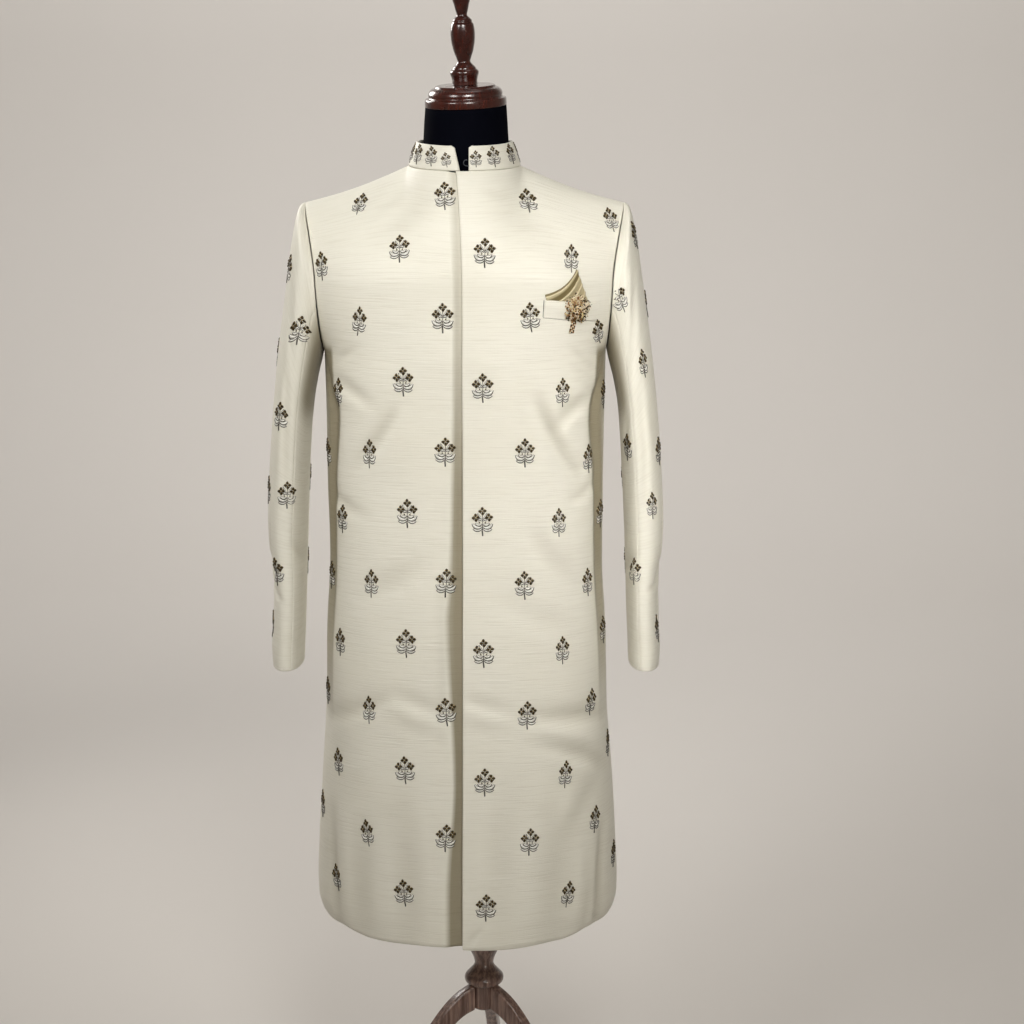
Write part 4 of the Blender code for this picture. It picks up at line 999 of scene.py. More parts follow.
@dataclass
class Sleeves:
    """Upper and under half of each sleeve."""

    form: BodyForm
    silk: bpy.types.Material
    seam_angle: float = 112.0
    seam_trim: float = 0.16
    squareness: float = 2.25
    armhole_gap: float = 0.0004
    rows_between: int = 9
    surfaces: dict[str, Surface] = field(default_factory=dict)
    across: dict[str, Surface] = field(default_factory=dict)

    def armhole(self, side: Side, shares: Array) -> Array:
        """Points at shares of the armhole's length, from the shoulder down."""
        levels = [level for level in self.form.levels() if level[0] == "yoke" or level[1] >= self.form.underarm_z - 1e-6]
        points = np.array([self.form.point(side, level, np.array([1.0]))[0] for level in reversed(levels)])
        lengths = np.concatenate([[0.0], np.cumsum(np.linalg.norm(np.diff(points, axis=0), axis=1))])
        target = shares * lengths[-1]
        found = np.stack([np.interp(target, lengths, points[:, axis]) for axis in range(3)], axis=-1)
        return found + np.array([self.armhole_gap, 0.0, 0.0])

    def control_row(self, row: int, angles: Array) -> Array:
        """Outer points of a station at angles: 0 is the outer side, a right angle the front."""
        if row == 0:
            wrapped = (angles + 180.0) % 360.0 - 180.0
            shares = np.abs(wrapped) / 180.0
            return np.where((wrapped >= 0)[:, None], self.armhole(Side.FRONT, shares),
                            self.armhole(Side.BACK, shares))
        station = SLEEVE_STATIONS[row - 1]
        outer = np.array([station.outer_x, station.y, station.outer_z])
        inner = np.array([station.inner_x, station.y, station.inner_z])
        turn = np.radians(angles)
        power = 2.0 / self.squareness
        along = np.sign(np.cos(turn)) * np.abs(np.cos(turn)) ** power
        forward = np.sign(np.sin(turn)) * np.abs(np.sin(turn)) ** power
        return ((outer + inner) / 2 + (outer - inner) / 2 * along[:, None]
                + np.array([0.0, -station.half_depth, 0.0]) * forward[:, None])

    def surface(self, start: float, end: float, columns: int, creases: Sequence[Crease], phase: float) -> Surface:
        """Outer face of one half of the wearer's left sleeve.

        Args:
            start: Angle of the first seam.
            end: Angle of the second seam.
            columns: Number of columns.
            creases: Its creases, with the distance round as a thousandth of the angle.
            phase: Phase of its small unevenness.

        Returns:
            The surface, rows rising from the cuff.
        """
        trim = self.seam_trim
        inner = np.linspace(start + trim + 4.0, end - trim - 4.0, columns)
        angles = np.concatenate([start + trim + np.array([0.0, 0.7, 1.6, 2.7]), inner,
                                 end - trim - np.array([2.7, 1.6, 0.7, 0.0])])
        last = len(SLEEVE_STATIONS)
        controls = np.array([self.control_row(row, angles) for row in range(last, -1, -1)])
        heights = [(station.outer_z + station.inner_z) / 2 for station in reversed(SLEEVE_STATIONS)]
        heights.append((self.form.shoulder_z + self.form.underarm_z) / 2)
        rows, height = [], []
        for index in range(last):
            steps = self.rows_between
            for share in np.arange(steps) / steps if index < last - 1 else np.linspace(0.0, 1.0, steps + 1):
                before, after = max(index - 1, 0), min(index + 2, last)
                p0, p1, p2, p3 = (controls[before], controls[index], controls[index + 1], controls[after])
                square, cube = share ** 2, share ** 3
                rows.append(0.5 * (2 * p1 + (p2 - p0) * share + (2 * p0 - 5 * p1 + 4 * p2 - p3) * square
                                   + (3 * p1 - p0 - 3 * p2 + p3) * cube))
                height.append(heights[index] * (1.0 - share) + heights[index + 1] * share)
        points = np.array(rows)
        key = np.broadcast_to(angles, points.shape[:2]).copy()
        v = np.repeat(np.array(height)[:, None], len(angles), axis=1)
        steps_round = np.linalg.norm(np.diff(points, axis=1), axis=2)
        u = np.concatenate([np.zeros((len(points), 1)), np.cumsum(steps_round, axis=1)], axis=1)
        middle = np.argmin(np.abs(angles - (start + end) / 2))
        surface = Surface(points, u - u[:, middle:middle + 1], v, key, outward=-1.0)
        seam = 0.0006 * (np.exp(-((key - start - trim) / 1.4) ** 2) + np.exp(-((end - trim - key) / 1.4) ** 2))
        fold_line = 0.0005 * np.exp(-((v - heights[0] - 0.0045) / 0.0016) ** 2)
        top = 0.0006 * np.exp(-((v - heights[-1]) / 0.0012) ** 2)
        calm = 1.0 - smoothstep(1.28, 1.33, v)
        folds = relief(key * 0.001, v, creases) * calm
        # Painted shade: the creases' troughs and the sleeve's body side near the armpit are darkened in colour.
        armpit_shade = smoothstep(104.0, 140.0, key) * (key < 240.0) * smoothstep(1.150, 1.215, v)
        surface.shade = 75.0 * np.maximum(folds, 0.0) + 0.9 * armpit_shade
        surface.push_in(seam + fold_line + top + folds + ripple(u, v, phase) * calm)
        surface.points[..., 1] += PART_Y
        surface.refresh()
        return surface

    def build(self) -> dict[str, bpy.types.Object]:
        """Make the four halves.

        Returns:
            The pieces by the names of the solids that they stand for.
        """
        seam = self.seam_angle
        pieces = {}
        for side, creases, phase in (("left", SLEEVE_LEFT_CREASES, 0.8), ("right", SLEEVE_RIGHT_CREASES, 2.6)):
            upper = self.surface(-seam, seam, 72, creases, phase)
            under = self.surface(seam, 360.0 - seam, 40, creases, phase + 0.5)
            across = self.surface(seam - 70.0, seam + 70.0, 56, creases, phase)
            self.across[f"upper_sleeve_{side}"] = across if side == "left" else across.mirrored()
            for half, surface in (("upper", upper), ("under", under)):
                node = f"{half}_sleeve_{side}"
                surface = surface if side == "left" else surface.mirrored()
                self.surfaces[node] = surface
                piece = cloth_shell(f"silk_{node}", surface, WALL, self.silk)
                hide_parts(node)
                pieces[node] = piece
        return pieces


@dataclass
class Collar:
    """Two halves of the stand collar, open at the front and parted at the middle back, and its wire hook."""

    form: BodyForm
    silk: bpy.types.Material
    wire: bpy.types.Material
    top_x: float = 0.0655
    top_front_y: float = 0.0700
    top_back_y: float = 0.0650
    front_height: float = 0.0315
    side_height: float = 0.0315
    back_height: float = 0.0300
    bulge: float = 0.0012
    seat: float = 0.0009
    corner_radius: float = 0.0030
    left_front_x: tuple[float, float] = (0.0085, 0.0085)
    right_front_x: tuple[float, float] = (0.0057, 0.0130)
    rows: int = 18
    columns: int = 84
    surfaces: dict[str, Surface] = field(default_factory=dict)

    def points(self, angles: Array, share: float) -> Array:
        """Outer points of the collar at angles round from the front and a share of its height."""
        front = angles <= math.pi / 2
        turn = np.where(front, angles, math.pi - angles)
        base = np.where(front[:, None], self.form.neck(Side.FRONT, turn), self.form.neck(Side.BACK, turn))
        top_y = np.where(front, -self.top_front_y, self.top_back_y)
        middle = np.where(front, self.front_height, self.back_height)
        height = self.side_height + (middle - self.side_height) * np.cos(turn)
        top = np.stack([self.top_x * np.sin(turn), top_y * np.cos(turn), base[:, 2] + height], axis=-1)
        bulge = self.bulge * math.sin(math.pi * share)
        outward = np.stack([np.sin(turn), np.sign(top_y) * np.cos(turn), np.zeros_like(turn)], axis=-1)
        return base * (1.0 - share) + top * share + outward * bulge

    def half(self, front_x: tuple[float, float], phase: float) -> Surface:
        """Outer face of one half, on the wearer's left.

        Args:
            front_x: Place of its front edge at the foot and at the top.
            phase: Phase of its small unevenness.

        Returns:
            The surface.
        """
        grid, key, height = [], [], []
        reach = self.form.neck_x
        for row in range(self.rows + 1):
            share = row / self.rows
            place = front_x[0] + (front_x[1] - front_x[0]) * share
            corner = max(share - (1.0 - self.corner_radius / self.side_height), 0.0) * self.side_height
            place += self.corner_radius - math.sqrt(max(self.corner_radius ** 2 - corner ** 2, 0.0))
            start = math.asin(place / (reach + (self.top_x - reach) * share))
            angles = np.linspace(start, math.pi - SEAM_HALF_GAP / self.top_x, self.columns)
            grid.append(self.points(angles, share))
            key.append(np.degrees(angles))
            height.append(np.full(self.columns, share * self.side_height))
        points, key_grid, v = np.array(grid), np.array(key), np.array(height)
        points[..., 2] += self.seat
        surface = Surface(points, np.radians(key_grid) * reach, v, key_grid, outward=1.0)
        stitch = 0.0003 * np.exp(-((v - self.side_height + 0.0042) / 0.0010) ** 2)
        surface.push_in(stitch + 0.7 * ripple(surface.u * 1.6, v * 3.0, phase))
        surface.points[..., 1] += PART_Y
        surface.refresh()
        return surface

    def hook(self) -> bpy.types.Object:
        """Bent wire hook at the foot of the collar's opening."""
        route = ((0.0079, 1.4890), (0.0040, 1.4888), (0.0012, 1.4900), (0.0002, 1.4925), (0.0008, 1.4955),
                 (0.0030, 1.4975), (0.0052, 1.4968))
        curve = bpy.data.curves.new("collar_hook_wire", "CURVE")
        curve.dimensions = "3D"
        curve.bevel_depth = 0.0006
        curve.bevel_resolution = 3
        curve.use_fill_caps = True
        spline = curve.splines.new("NURBS")
        spline.points.add(len(route) - 1)
        for point, (x, z) in zip(spline.points, route):
            point.co = (x, PART_Y - 0.0730, z, 1.0)
        spline.use_endpoint_u = True
        spline.order_u = 4
        curve.materials.append(self.wire)
        piece = bpy.data.objects.new("collar_hook_wire", curve)
        bpy.context.scene.collection.objects.link(piece)
        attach(piece, BODY)
        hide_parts("collar_hook")
        return piece

    def build(self) -> dict[str, bpy.types.Object]:
        """Make the two halves and the hook.

        Returns:
            The halves by the names of the solids that they stand for.
        """
        left = self.half(self.left_front_x, 0.3)
        right = self.half(self.right_front_x, 2.2).mirrored()
        self.surfaces = {"collar_left": left, "collar_right": right}
        pieces = {}
        for node, surface in self.surfaces.items():
            piece = cloth_shell(f"silk_{node}", surface, COLLAR_WALL, self.silk)
            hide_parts(node)
            pieces[node] = piece
        self.hook()
        return pieces


@dataclass
class Drawing:
    """Flat drawing of raised beads, leaves and threads, to be laid on cloth."""

    flat: list[tuple[float, float]] = field(default_factory=list)
    lift: list[float] = field(default_factory=list)
    faces: list[tuple[int, ...]] = field(default_factory=list)
    tones: list[int] = field(default_factory=list)
    element: list[int] = field(default_factory=list)
    elements: int = 0

    def _begin(self) -> int:
        """Start a new raised element and give the index of its first point."""
        self.elements += 1
        return len(self.flat)

    def _point(self, x: float, y: float, lift: float) -> None:
        """Add a point, from millimetres."""
        self.flat.append((x * 0.001, y * 0.001))
        self.lift.append(lift * 0.001)
        self.element.append(self.elements - 1)

    def _face(self, corners: Sequence[int], tone: Thread) -> None:
        """Add a face."""
        self.faces.append(tuple(corners))
        self.tones.append(tone.value)

    def bead(self, x: float, y: float, radius: float, tone: Thread, stretch: float = 1.0, turn: float = 0.0,
             base: float = 0.0, sides: int = 7) -> None:
        """Domed bead.

        Args:
            x: Place across in millimetres.
            y: Place up.
            radius: Radius.
            tone: Finish.
            stretch: Length over width.
            turn: Direction of its length in degrees.
            base: Height of its foot over the cloth.
            sides: Number of sides.
        """
        first = self._begin()
        cosine, sine = math.cos(math.radians(turn)), math.sin(math.radians(turn))
        for reach, lift in ((1.0, -0.10), (1.02, 0.30 * radius), (0.70, 0.82 * radius)):
            for side in range(sides):
                angle = 2 * math.pi * side / sides
                along, across = radius * reach * stretch * math.cos(angle), radius * reach * math.sin(angle)
                self._point(x + along * cosine - across * sine, y + along * sine + across * cosine, base + lift)
        self._point(x, y, base + 1.05 * radius)
        for ring in range(2):
            for side in range(sides):
                after = (side + 1) % sides
                low = first + ring * sides
                self._face((low + side, low + after, low + sides + after, low + sides + side), tone)
        top = first + 3 * sides
        for side in range(sides):
            self._face((top - sides + side, top - sides + (side + 1) % sides, top), tone)
        self._face([first + side for side in reversed(range(sides))], tone)

    def thread(self, route: Sequence[tuple[float, float]], radius: float, tone: Thread, lift: float = 0.25) -> None:
        """Couched thread along a route of points in millimetres."""
        first = self._begin()
        count = len(route)
        for index, (x, y) in enumerate(route):
            before, after = route[max(index - 1, 0)], route[min(index + 1, count - 1)]
            dx, dy = after[0] - before[0], after[1] - before[1]
            size = math.hypot(dx, dy) or 1.0
            nx, ny = -dy / size * radius, dx / size * radius
            self._point(x - nx, y - ny, lift * 0.4)
            self._point(x, y, lift + radius)
            self._point(x + nx, y + ny, lift * 0.4)
            self._point(x, y, -0.15)
        for index in range(count - 1):
            for corner in range(4):
                start, end = first + 4 * index + corner, first + 4 * index + (corner + 1) % 4
                self._face((start, end, end + 4, start + 4), tone)
        self._face((first, first + 3, first + 2, first + 1), tone)
        tail = first + 4 * (count - 1)
        self._face((tail, tail + 1, tail + 2, tail + 3), tone)

    def leaf(self, base: tuple[float, float], control: tuple[float, float], tip: tuple[float, float],
             width: float) -> None:
        """Satin-stitched leaf on a bent midline, with its outline couched round it."""
        stations = 6
        left, right, middle = [], [], []
        for index in range(stations):
            share = index / (stations - 1)
            x, y = (base[i] * (1 - share) ** 2 + 2 * control[i] * share * (1 - share) + tip[i] * share ** 2
                    for i in range(2))
            dx, dy = (2 * (control[i] - base[i]) * (1 - share) + 2 * (tip[i] - control[i]) * share
                      for i in range(2))
            size = math.hypot(dx, dy) or 1.0
            half = width / 2 * max(math.sin(math.pi * (0.06 + 0.88 * share)), 0.05) ** 0.8
            middle.append((x, y))
            left.append((x - dy / size * half, y + dx / size * half))
            right.append((x + dy / size * half, y - dx / size * half))
        first = self._begin()
        for (lx, ly), (mx, my), (rx, ry) in zip(left, middle, right):
            self._point(lx, ly, -0.10)
            self._point(mx, my, 0.55)
            self._point(rx, ry, -0.10)
        for index in range(stations - 1):
            for corner in range(3):
                start, end = first + 3 * index + corner, first + 3 * index + (corner + 1) % 3
                self._face((start, end, end + 3, start + 3), Thread.LEAF)
        self._face((first, first + 2, first + 1), Thread.LEAF)
        tail = first + 3 * (stations - 1)
        self._face((tail, tail + 1, tail + 2), Thread.LEAF)
        self.thread(left if base[0] < 0 else right, 0.58, Thread.OUTLINE)
        self.thread(right if base[0] < 0 else left, 0.26, Thread.OUTLINE)


def sprig_drawing() -> Drawing:
    """Sprig of three bead flowers over curled leaves and a stem, in millimetres."""
    drawing = Drawing()
    drawing.thread([(0.0, 9.0), (0.3, 3.0), (0.0, -5.0)], 0.40, Thread.OUTLINE)
    drawing.thread([(0.0, -5.0), (0.2, -9.5), (-0.3, -13.5)], 0.62, Thread.OUTLINE)
    drawing.thread([(-0.3, -12.6), (0.1, -16.4), (0.4, -20.2)], 1.00, Thread.OUTLINE)
    for side in (-1.0, 1.0):
        drawing.leaf((1.0 * side, -7.6), (9.4 * side, -11.8), (13.6 * side, -3.0), 4.6)
        drawing.leaf((0.9 * side, -10.2), (6.4 * side, -14.6), (12.8 * side, -10.4), 3.4)
        drawing.leaf((0.8 * side, -3.4), (5.8 * side, -7.6), (9.6 * side, -2.0), 3.2)
        drawing.leaf((0.6 * side, 0.6), (3.2 * side, 5.2), (5.4 * side, 0.2), 2.6)
        drawing.leaf((0.8 * side, 3.0), (4.6 * side, 6.6), (6.2 * side, 11.6), 1.8)
        drawing.bead(4.0 * side, -1.7, 1.05, Thread.DARK_GOLD, 1.2, 120.0 * side, sides=5)
    for centre in ((0.1, 14.4), (-9.0, 5.2), (9.0, 5.7)):
        for turn in (90.0, 180.0, 0.0, 270.0):
            x = centre[0] + 3.3 * math.cos(math.radians(turn + 6.0))
            y = centre[1] + 3.5 * math.sin(math.radians(turn + 6.0))
            drawing.bead(x, y, 1.95, Thread.DARK_GOLD, 1.25, turn)
        # Painted highlight: of the small beads between the petals, the upper two take the bright gold and the lower
        # two the dark gold.
        for turn in (45.0, 135.0, 225.0, 315.0):
            x = centre[0] + 3.7 * math.cos(math.radians(turn))
            y = centre[1] + 3.7 * math.sin(math.radians(turn))
            drawing.bead(x, y, 0.95, Thread.BRIGHT_GOLD if turn < 180.0 else Thread.DARK_GOLD, sides=5)
        drawing.bead(centre[0], centre[1], 1.05, Thread.BRIGHT_GOLD, sides=6, base=0.6)
    return drawing


@dataclass
class Embroidery:
    """Lays sprigs on the coat's surfaces and joins those of a panel to one piece."""

    finishes: Sequence[bpy.types.Material]
    drawing: Drawing = field(default_factory=sprig_drawing)
    spare: float = 0.6

    def lay(self, name: str, surface: Surface, places: Sequence[Place],
            drawing: Drawing | None = None) -> bpy.types.Object:
        """Lay a drawing at places on a surface.

        Args:
            name: Name of the piece.
            surface: The cloth.
            places: Row, column, size, lean and share of the width of each.
            drawing: What is laid; a sprig if left out.

        Returns:
            The joined piece.
        """
        drawing = drawing or self.drawing
        flat, lift = np.array(drawing.flat), np.array(drawing.lift)
        element = np.array(drawing.element)
        last_row, last_column = surface.points.shape[0] - 1, surface.points.shape[1] - 1
        vertices: list[Array] = []
        faces: list[tuple[int, ...]] = []
        tones: list[int] = []
        for row, column, size, lean, width in places:
            rows, columns = surface.spread(row, column, flat * np.array([size * width, size]), lean)
            inside = ((rows > -self.spare) & (rows < last_row + self.spare)
                      & (columns > -self.spare) & (columns < last_column + self.spare))
            whole = np.ones(drawing.elements, dtype=bool)
            np.logical_and.at(whole, element, inside)
            kept = whole[element]
            index = np.cumsum(kept) - 1 + sum(len(block) for block in vertices)
            vertices.append(surface.at(rows[kept], columns[kept], lift[kept] * size))
            for face, tone in zip(drawing.faces, drawing.tones):
                if kept[face[0]]:
                    faces.append(tuple(int(index[corner]) for corner in face))
                    tones.append(tone)
        return link_piece(name, np.concatenate(vertices), faces, self.finishes, tones)

    def columns_on(self, surface: Surface, columns: Sequence[SprigColumn]) -> list[Place]:
        """Places of a body panel's upright runs of sprigs."""
        places = []
        for run in columns:
            heights = [run.first] + [run.second - run.repeat * index for index in range(run.count - 1)]
            for height in heights:
                girth = run.girth * column_at(GIRTH_SHARES, "share", height)
                girth *= run.top_share if height == run.first else 1.0
                row, column = surface.locate(girth, height)
                share = min(run.girth / 0.19, 1.0)
                lean = share * (20.0 * float(smoothstep(1.36, 1.45, height))
                                - 12.0 * (1.0 - float(smoothstep(0.50, 0.90, height))))
                width = 1.0 - 0.30 * float(smoothstep(0.075, 0.110, run.girth)) * (surface.key[0, 0] <= 0.05)
                places.append((row, column, 1.0, lean if surface.outward > 0 else -lean, width))
        return places

    def singles_on(self, surface: Surface, sprigs: Sequence[SprigPlace]) -> list[Place]:
        """Places of single sprigs on a sleeve or collar."""
        return [(*surface.locate(sprig.angle, sprig.height), sprig.size, sprig.lean, sprig.width) for sprig in sprigs]

    def sleeve_places(self, surface: Surface, sprigs: Sequence[SprigPlace]) -> list[Place]:
        """Places of single sprigs on a sleeve, by their height above the floor."""
        places = []
        rows = np.arange(surface.points.shape[0])
        for sprig in sprigs:
            column = float(np.interp(sprig.angle, surface.key[0], np.arange(surface.points.shape[1])))
            line = surface.sample(surface.points, rows, np.full(len(rows), column))
            lean = sprig.lean if surface.points[0, 0, 0] > 0 else -sprig.lean
            places.append((float(np.interp(sprig.height, line[:, 2], rows)), column, sprig.size, lean, sprig.width))
        return places


@dataclass
class BreastPocket:
    """Welt of the breast pocket, the folded square in it and the beaded brooch on it."""

    form: BodyForm
    chest: Surface
    silk: bpy.types.Material
    satin: bpy.types.Material
    embroidery: Embroidery
    welt_x: tuple[float, float] = (0.1068, 0.1780)
    welt_top_z: tuple[float, float] = (1.3152, 1.3088)
    welt_bottom_z: tuple[float, float] = (1.2922, 1.2840)
    welt_wall: float = 0.0015
    welt_stand_off: float = 0.0028
    square_foot: tuple[tuple[float, float], tuple[float, float]] = ((0.1112, 1.3108), (0.1640, 1.3060))
    square_left: tuple[float, float] = (0.1090, 1.3225)
    square_peak: tuple[float, float] = (0.1508, 1.3542)
    square_right: tuple[float, float] = (0.1648, 1.3138)
    square_wall: float = 0.0009
    pleat_edges: tuple[float, ...] = (0.030, 0.24, 0.46, 0.72)
    pleat_height: float = 0.0036
    brooch_middle: tuple[float, float] = (0.1506, 1.3035)
    brooch_beads: int = 290

    def index_of(self, x: Array, z: Array) -> tuple[Array, Array]:
        """Rows and columns of the chest's surface at places seen from the front."""
        grid = self.chest.points
        middle = int(np.argmin(np.abs(grid[60, :, 0] - 0.14)))
        rows = np.interp(z, grid[:, middle, 2], np.arange(len(grid)))
        columns = np.full_like(rows, middle)
        for _ in range(8):
            place = self.chest.sample(grid, rows, columns)
            east = self.chest.sample(grid, rows, columns + 0.5) - self.chest.sample(grid, rows, columns - 0.5)
            north = self.chest.sample(grid, rows + 0.5, columns) - self.chest.sample(grid, rows - 0.5, columns)
            off_x, off_z = x - place[..., 0], z - place[..., 2]
            area = east[..., 0] * north[..., 2] - east[..., 2] * north[..., 0]
            columns = columns + (off_x * north[..., 2] - off_z * north[..., 0]) / area
            rows = rows + (off_z * east[..., 0] - off_x * east[..., 2]) / area
        return rows, columns

    def pinned(self, name: str, drawing: Drawing, middle: tuple[float, float]) -> bpy.types.Object:
        """Drawing laid on the chest as seen from the front, about a middle."""
        flat = np.array(drawing.flat)
        rows, columns = self.index_of(middle[0] + flat[:, 0], middle[1] + flat[:, 1])
        vertices = self.chest.at(rows, columns, np.array(drawing.lift))
        return link_piece(name, vertices, drawing.faces, self.embroidery.finishes, drawing.tones)

    def laid(self, x: Array, z: Array, lift: Array, outward: float = 1.0) -> Surface:
        """Surface that stands a lift off the chest."""
        rows, columns = self.index_of(x, z)
        return Surface(self.chest.at(rows, columns, lift), x, z, x, outward=outward)

    def welt(self) -> tuple[bpy.types.Object, bpy.types.Object]:
        """Welt, standing a little off the chest at its top edge, and a dark thread along its seams as painted shadow.

        Returns:
            The welt and the painted shadow thread.
        """
        rise, share = np.meshgrid(np.linspace(0.0, 1.0, 26), np.linspace(0.0, 1.0, 60), indexing="ij")
        low = self.welt_bottom_z[0] + (self.welt_bottom_z[1] - self.welt_bottom_z[0]) * share
        high = self.welt_top_z[0] + (self.welt_top_z[1] - self.welt_top_z[0]) * share
        low = low + 0.0003 * np.sin(share * 9.0 + 0.6)
        x = self.welt_x[0] + (self.welt_x[1] - self.welt_x[0]) * share + 0.0012 * rise
        z = low + (high - low) * rise
        bow = np.sin(np.pi * (0.05 + 0.90 * share)) ** 0.35
        lift = SEAT_GAP + self.welt_wall + self.welt_stand_off * smoothstep(0.0, 0.75, rise) * bow
        welt = cloth_shell("silk_breast_welt", self.laid(x, z, lift), self.welt_wall, self.silk)
        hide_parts("breast_welt")
        middle = (sum(self.welt_x) / 2, sum(self.welt_bottom_z) / 2)
        # Painted shadow: a thin dark thread along the welt's left, bottom and right edges stands for the shadow in the
        # seam gaps.
        route = [(x[row, 0] - 0.0005, z[row, 0]) for row in range(25, -1, -3)]
        route += [(x[0, column], z[0, column] - 0.0005) for column in range(0, 60, 3)]
        route += [(x[row, -1] + 0.0005, z[row, -1]) for row in range(0, 25, 3)]
        drawing = Drawing()
        drawing.thread([((px - middle[0]) * 1000, (pz - middle[1]) * 1000) for px, pz in route], 0.46,
                       Thread.OUTLINE, 0.45)
        seam = self.pinned("welt_painted_shadow_thread", drawing, middle)
        return welt, seam

    def square(self) -> bpy.types.Object:
        """Satin square folded to a peak, its pleats sweeping up from the welt to the slanted edge."""
        rows, columns = 200, 40
        across = np.linspace(0.0, 1.0, rows)
        left, right = (np.array(point) for point in self.square_foot)
        corner, peak, end = np.array(self.square_left), np.array(self.square_peak), np.array(self.square_right)
        first = np.clip(across / 0.12, 0.0, 1.0)[:, None]
        foot = corner + (left - corner) * first + (right - left) * np.clip((across - 0.12) / 0.88, 0.0, 1.0)[:, None]
        slant = peak + (end - peak) * across[:, None]
        slant[:, 0] += 0.0004 * np.sin(across * 21.0)
        edges = np.array((-0.04,) + self.pleat_edges + (1.04,))
        index = np.clip(np.searchsorted(edges, across, side="right") - 1, 0, len(edges) - 2)
        saw = (across - edges[index]) / (edges[index + 1] - edges[index])
        fold = smoothstep(0.0, 0.045, saw) * (1.0 - 0.95 * np.clip((saw - 0.03) / 0.97, 0.0, 1.0) ** 0.75)
        fold = fold * np.where(index == 0, 0.25, 1.0)
        grid_x, grid_z, lift, tone = [], [], [], []
        for column in range(columns):
            t = column / (columns - 1)
            # Painted shade: each pleat's colour is darkened just past its ridge, most in the first two pleats.
            painted_recess_shade = (0.95, 0.95, 0.50, 0.30, 0.15)
            tone.append(np.array(painted_recess_shade)[index] * smoothstep(0.14, 0.30, saw) * (1.0 - 0.35 * t * (index > 1)))
            sag = np.array([0.0046, -0.0048]) * (1.0 - 0.75 * across[:, None]) * 4.0 * t * (1.0 - t)
            place = foot * (1.0 - t) + slant * t + sag
            height = self.pleat_height * fold * (0.40 + 0.60 * math.sin(math.pi * (0.15 + 0.75 * t)))
            over = 0.0010 * across
            lift.append(SEAT_GAP + 0.0002 + self.square_wall + over + height)
            grid_x.append(place[:, 0])
            grid_z.append(place[:, 1])
        surface = self.laid(np.array(grid_x).T, np.array(grid_z).T, np.array(lift).T, outward=-1.0)
        surface.shade = np.array(tone).T
        piece = cloth_shell("satin_pocket_square", surface, self.square_wall, self.satin)
        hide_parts("pocket_square")
        return piece

    def brooch(self) -> bpy.types.Object:
        """Brooch like a small tree: a crown of mixed beads over a short stem."""
        drawing = Drawing()
        foot = (self.welt_stand_off + self.welt_wall) * 1000 + 0.7
        chance = random.Random(11)
        warm = (Thread.CREAM, Thread.COPPER, Thread.BRIGHT_GOLD, Thread.COPPER, Thread.CREAM, Thread.BRIGHT_GOLD,
                Thread.DARK_GOLD)
        pale = (Thread.CREAM, Thread.DARK_GOLD, Thread.CREAM, Thread.OUTLINE)
        for index in range(self.brooch_beads):
            reach = math.sqrt((index + 0.5) / self.brooch_beads)
            turn = math.radians(137.508 * index)
            lobe = 0.93 + 0.09 * math.sin(5.0 * turn + 0.8) + 0.05 * math.sin(9.0 * turn)
            x = 20.5 * reach * lobe * math.cos(turn) + chance.uniform(-0.9, 0.9)
            y = 20.5 * reach * lobe * math.sin(turn) + chance.uniform(-0.9, 0.9)
            side = chance.choice(pale if x > 8.0 or y > 15.0 else warm)
            radius = chance.uniform(0.85, 1.45) * (1.0 - 0.30 * (reach > 0.85))
            base = foot - 1.6 + 2.6 * (1.0 - reach ** 2) - 1.6 * max(reach - 0.8, 0.0) / 0.2
            drawing.bead(x, y, radius, side, chance.uniform(1.0, 1.9), chance.uniform(0.0, 180.0), max(base, 0.4),
                         sides=6)
        for tip_x, tip_y in ((-14.0, 6.0), (-7.0, 13.0), (2.0, 16.0), (11.0, 11.0), (14.0, 1.0)):
            drawing.thread([(-4.5, -18.0), (0.35 * tip_x - 2.0, -6.0 + 0.2 * tip_y), (tip_x, tip_y)], 0.9,
                           Thread.COPPER, foot + 0.6)
        for index in range(24):
            share = (index // 3) / 7.0
            x = -3.6 - 3.4 * share + (index % 3 - 1) * 2.2 + chance.uniform(-0.3, 0.3)
            tone = (Thread.COPPER, Thread.CREAM, Thread.DARK_GOLD)[(index + index // 3) % 3]
            drawing.bead(x, -19.0 - 13.5 * share, 1.35, tone, 1.3, 75.0, foot - 3.2, sides=7)
        piece = self.pinned("brooch_beads", drawing, self.brooch_middle)
        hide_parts("brooch")
        return piece

    def build(self) -> None:
        """Make the welt, the square and the brooch."""
        welt, seam = self.welt()
        square = self.square()
        self.brooch()


class NeckRow(NamedTuple):
    """Level section of the form's neck."""

    z: float
    half_width: float
    half_depth: float


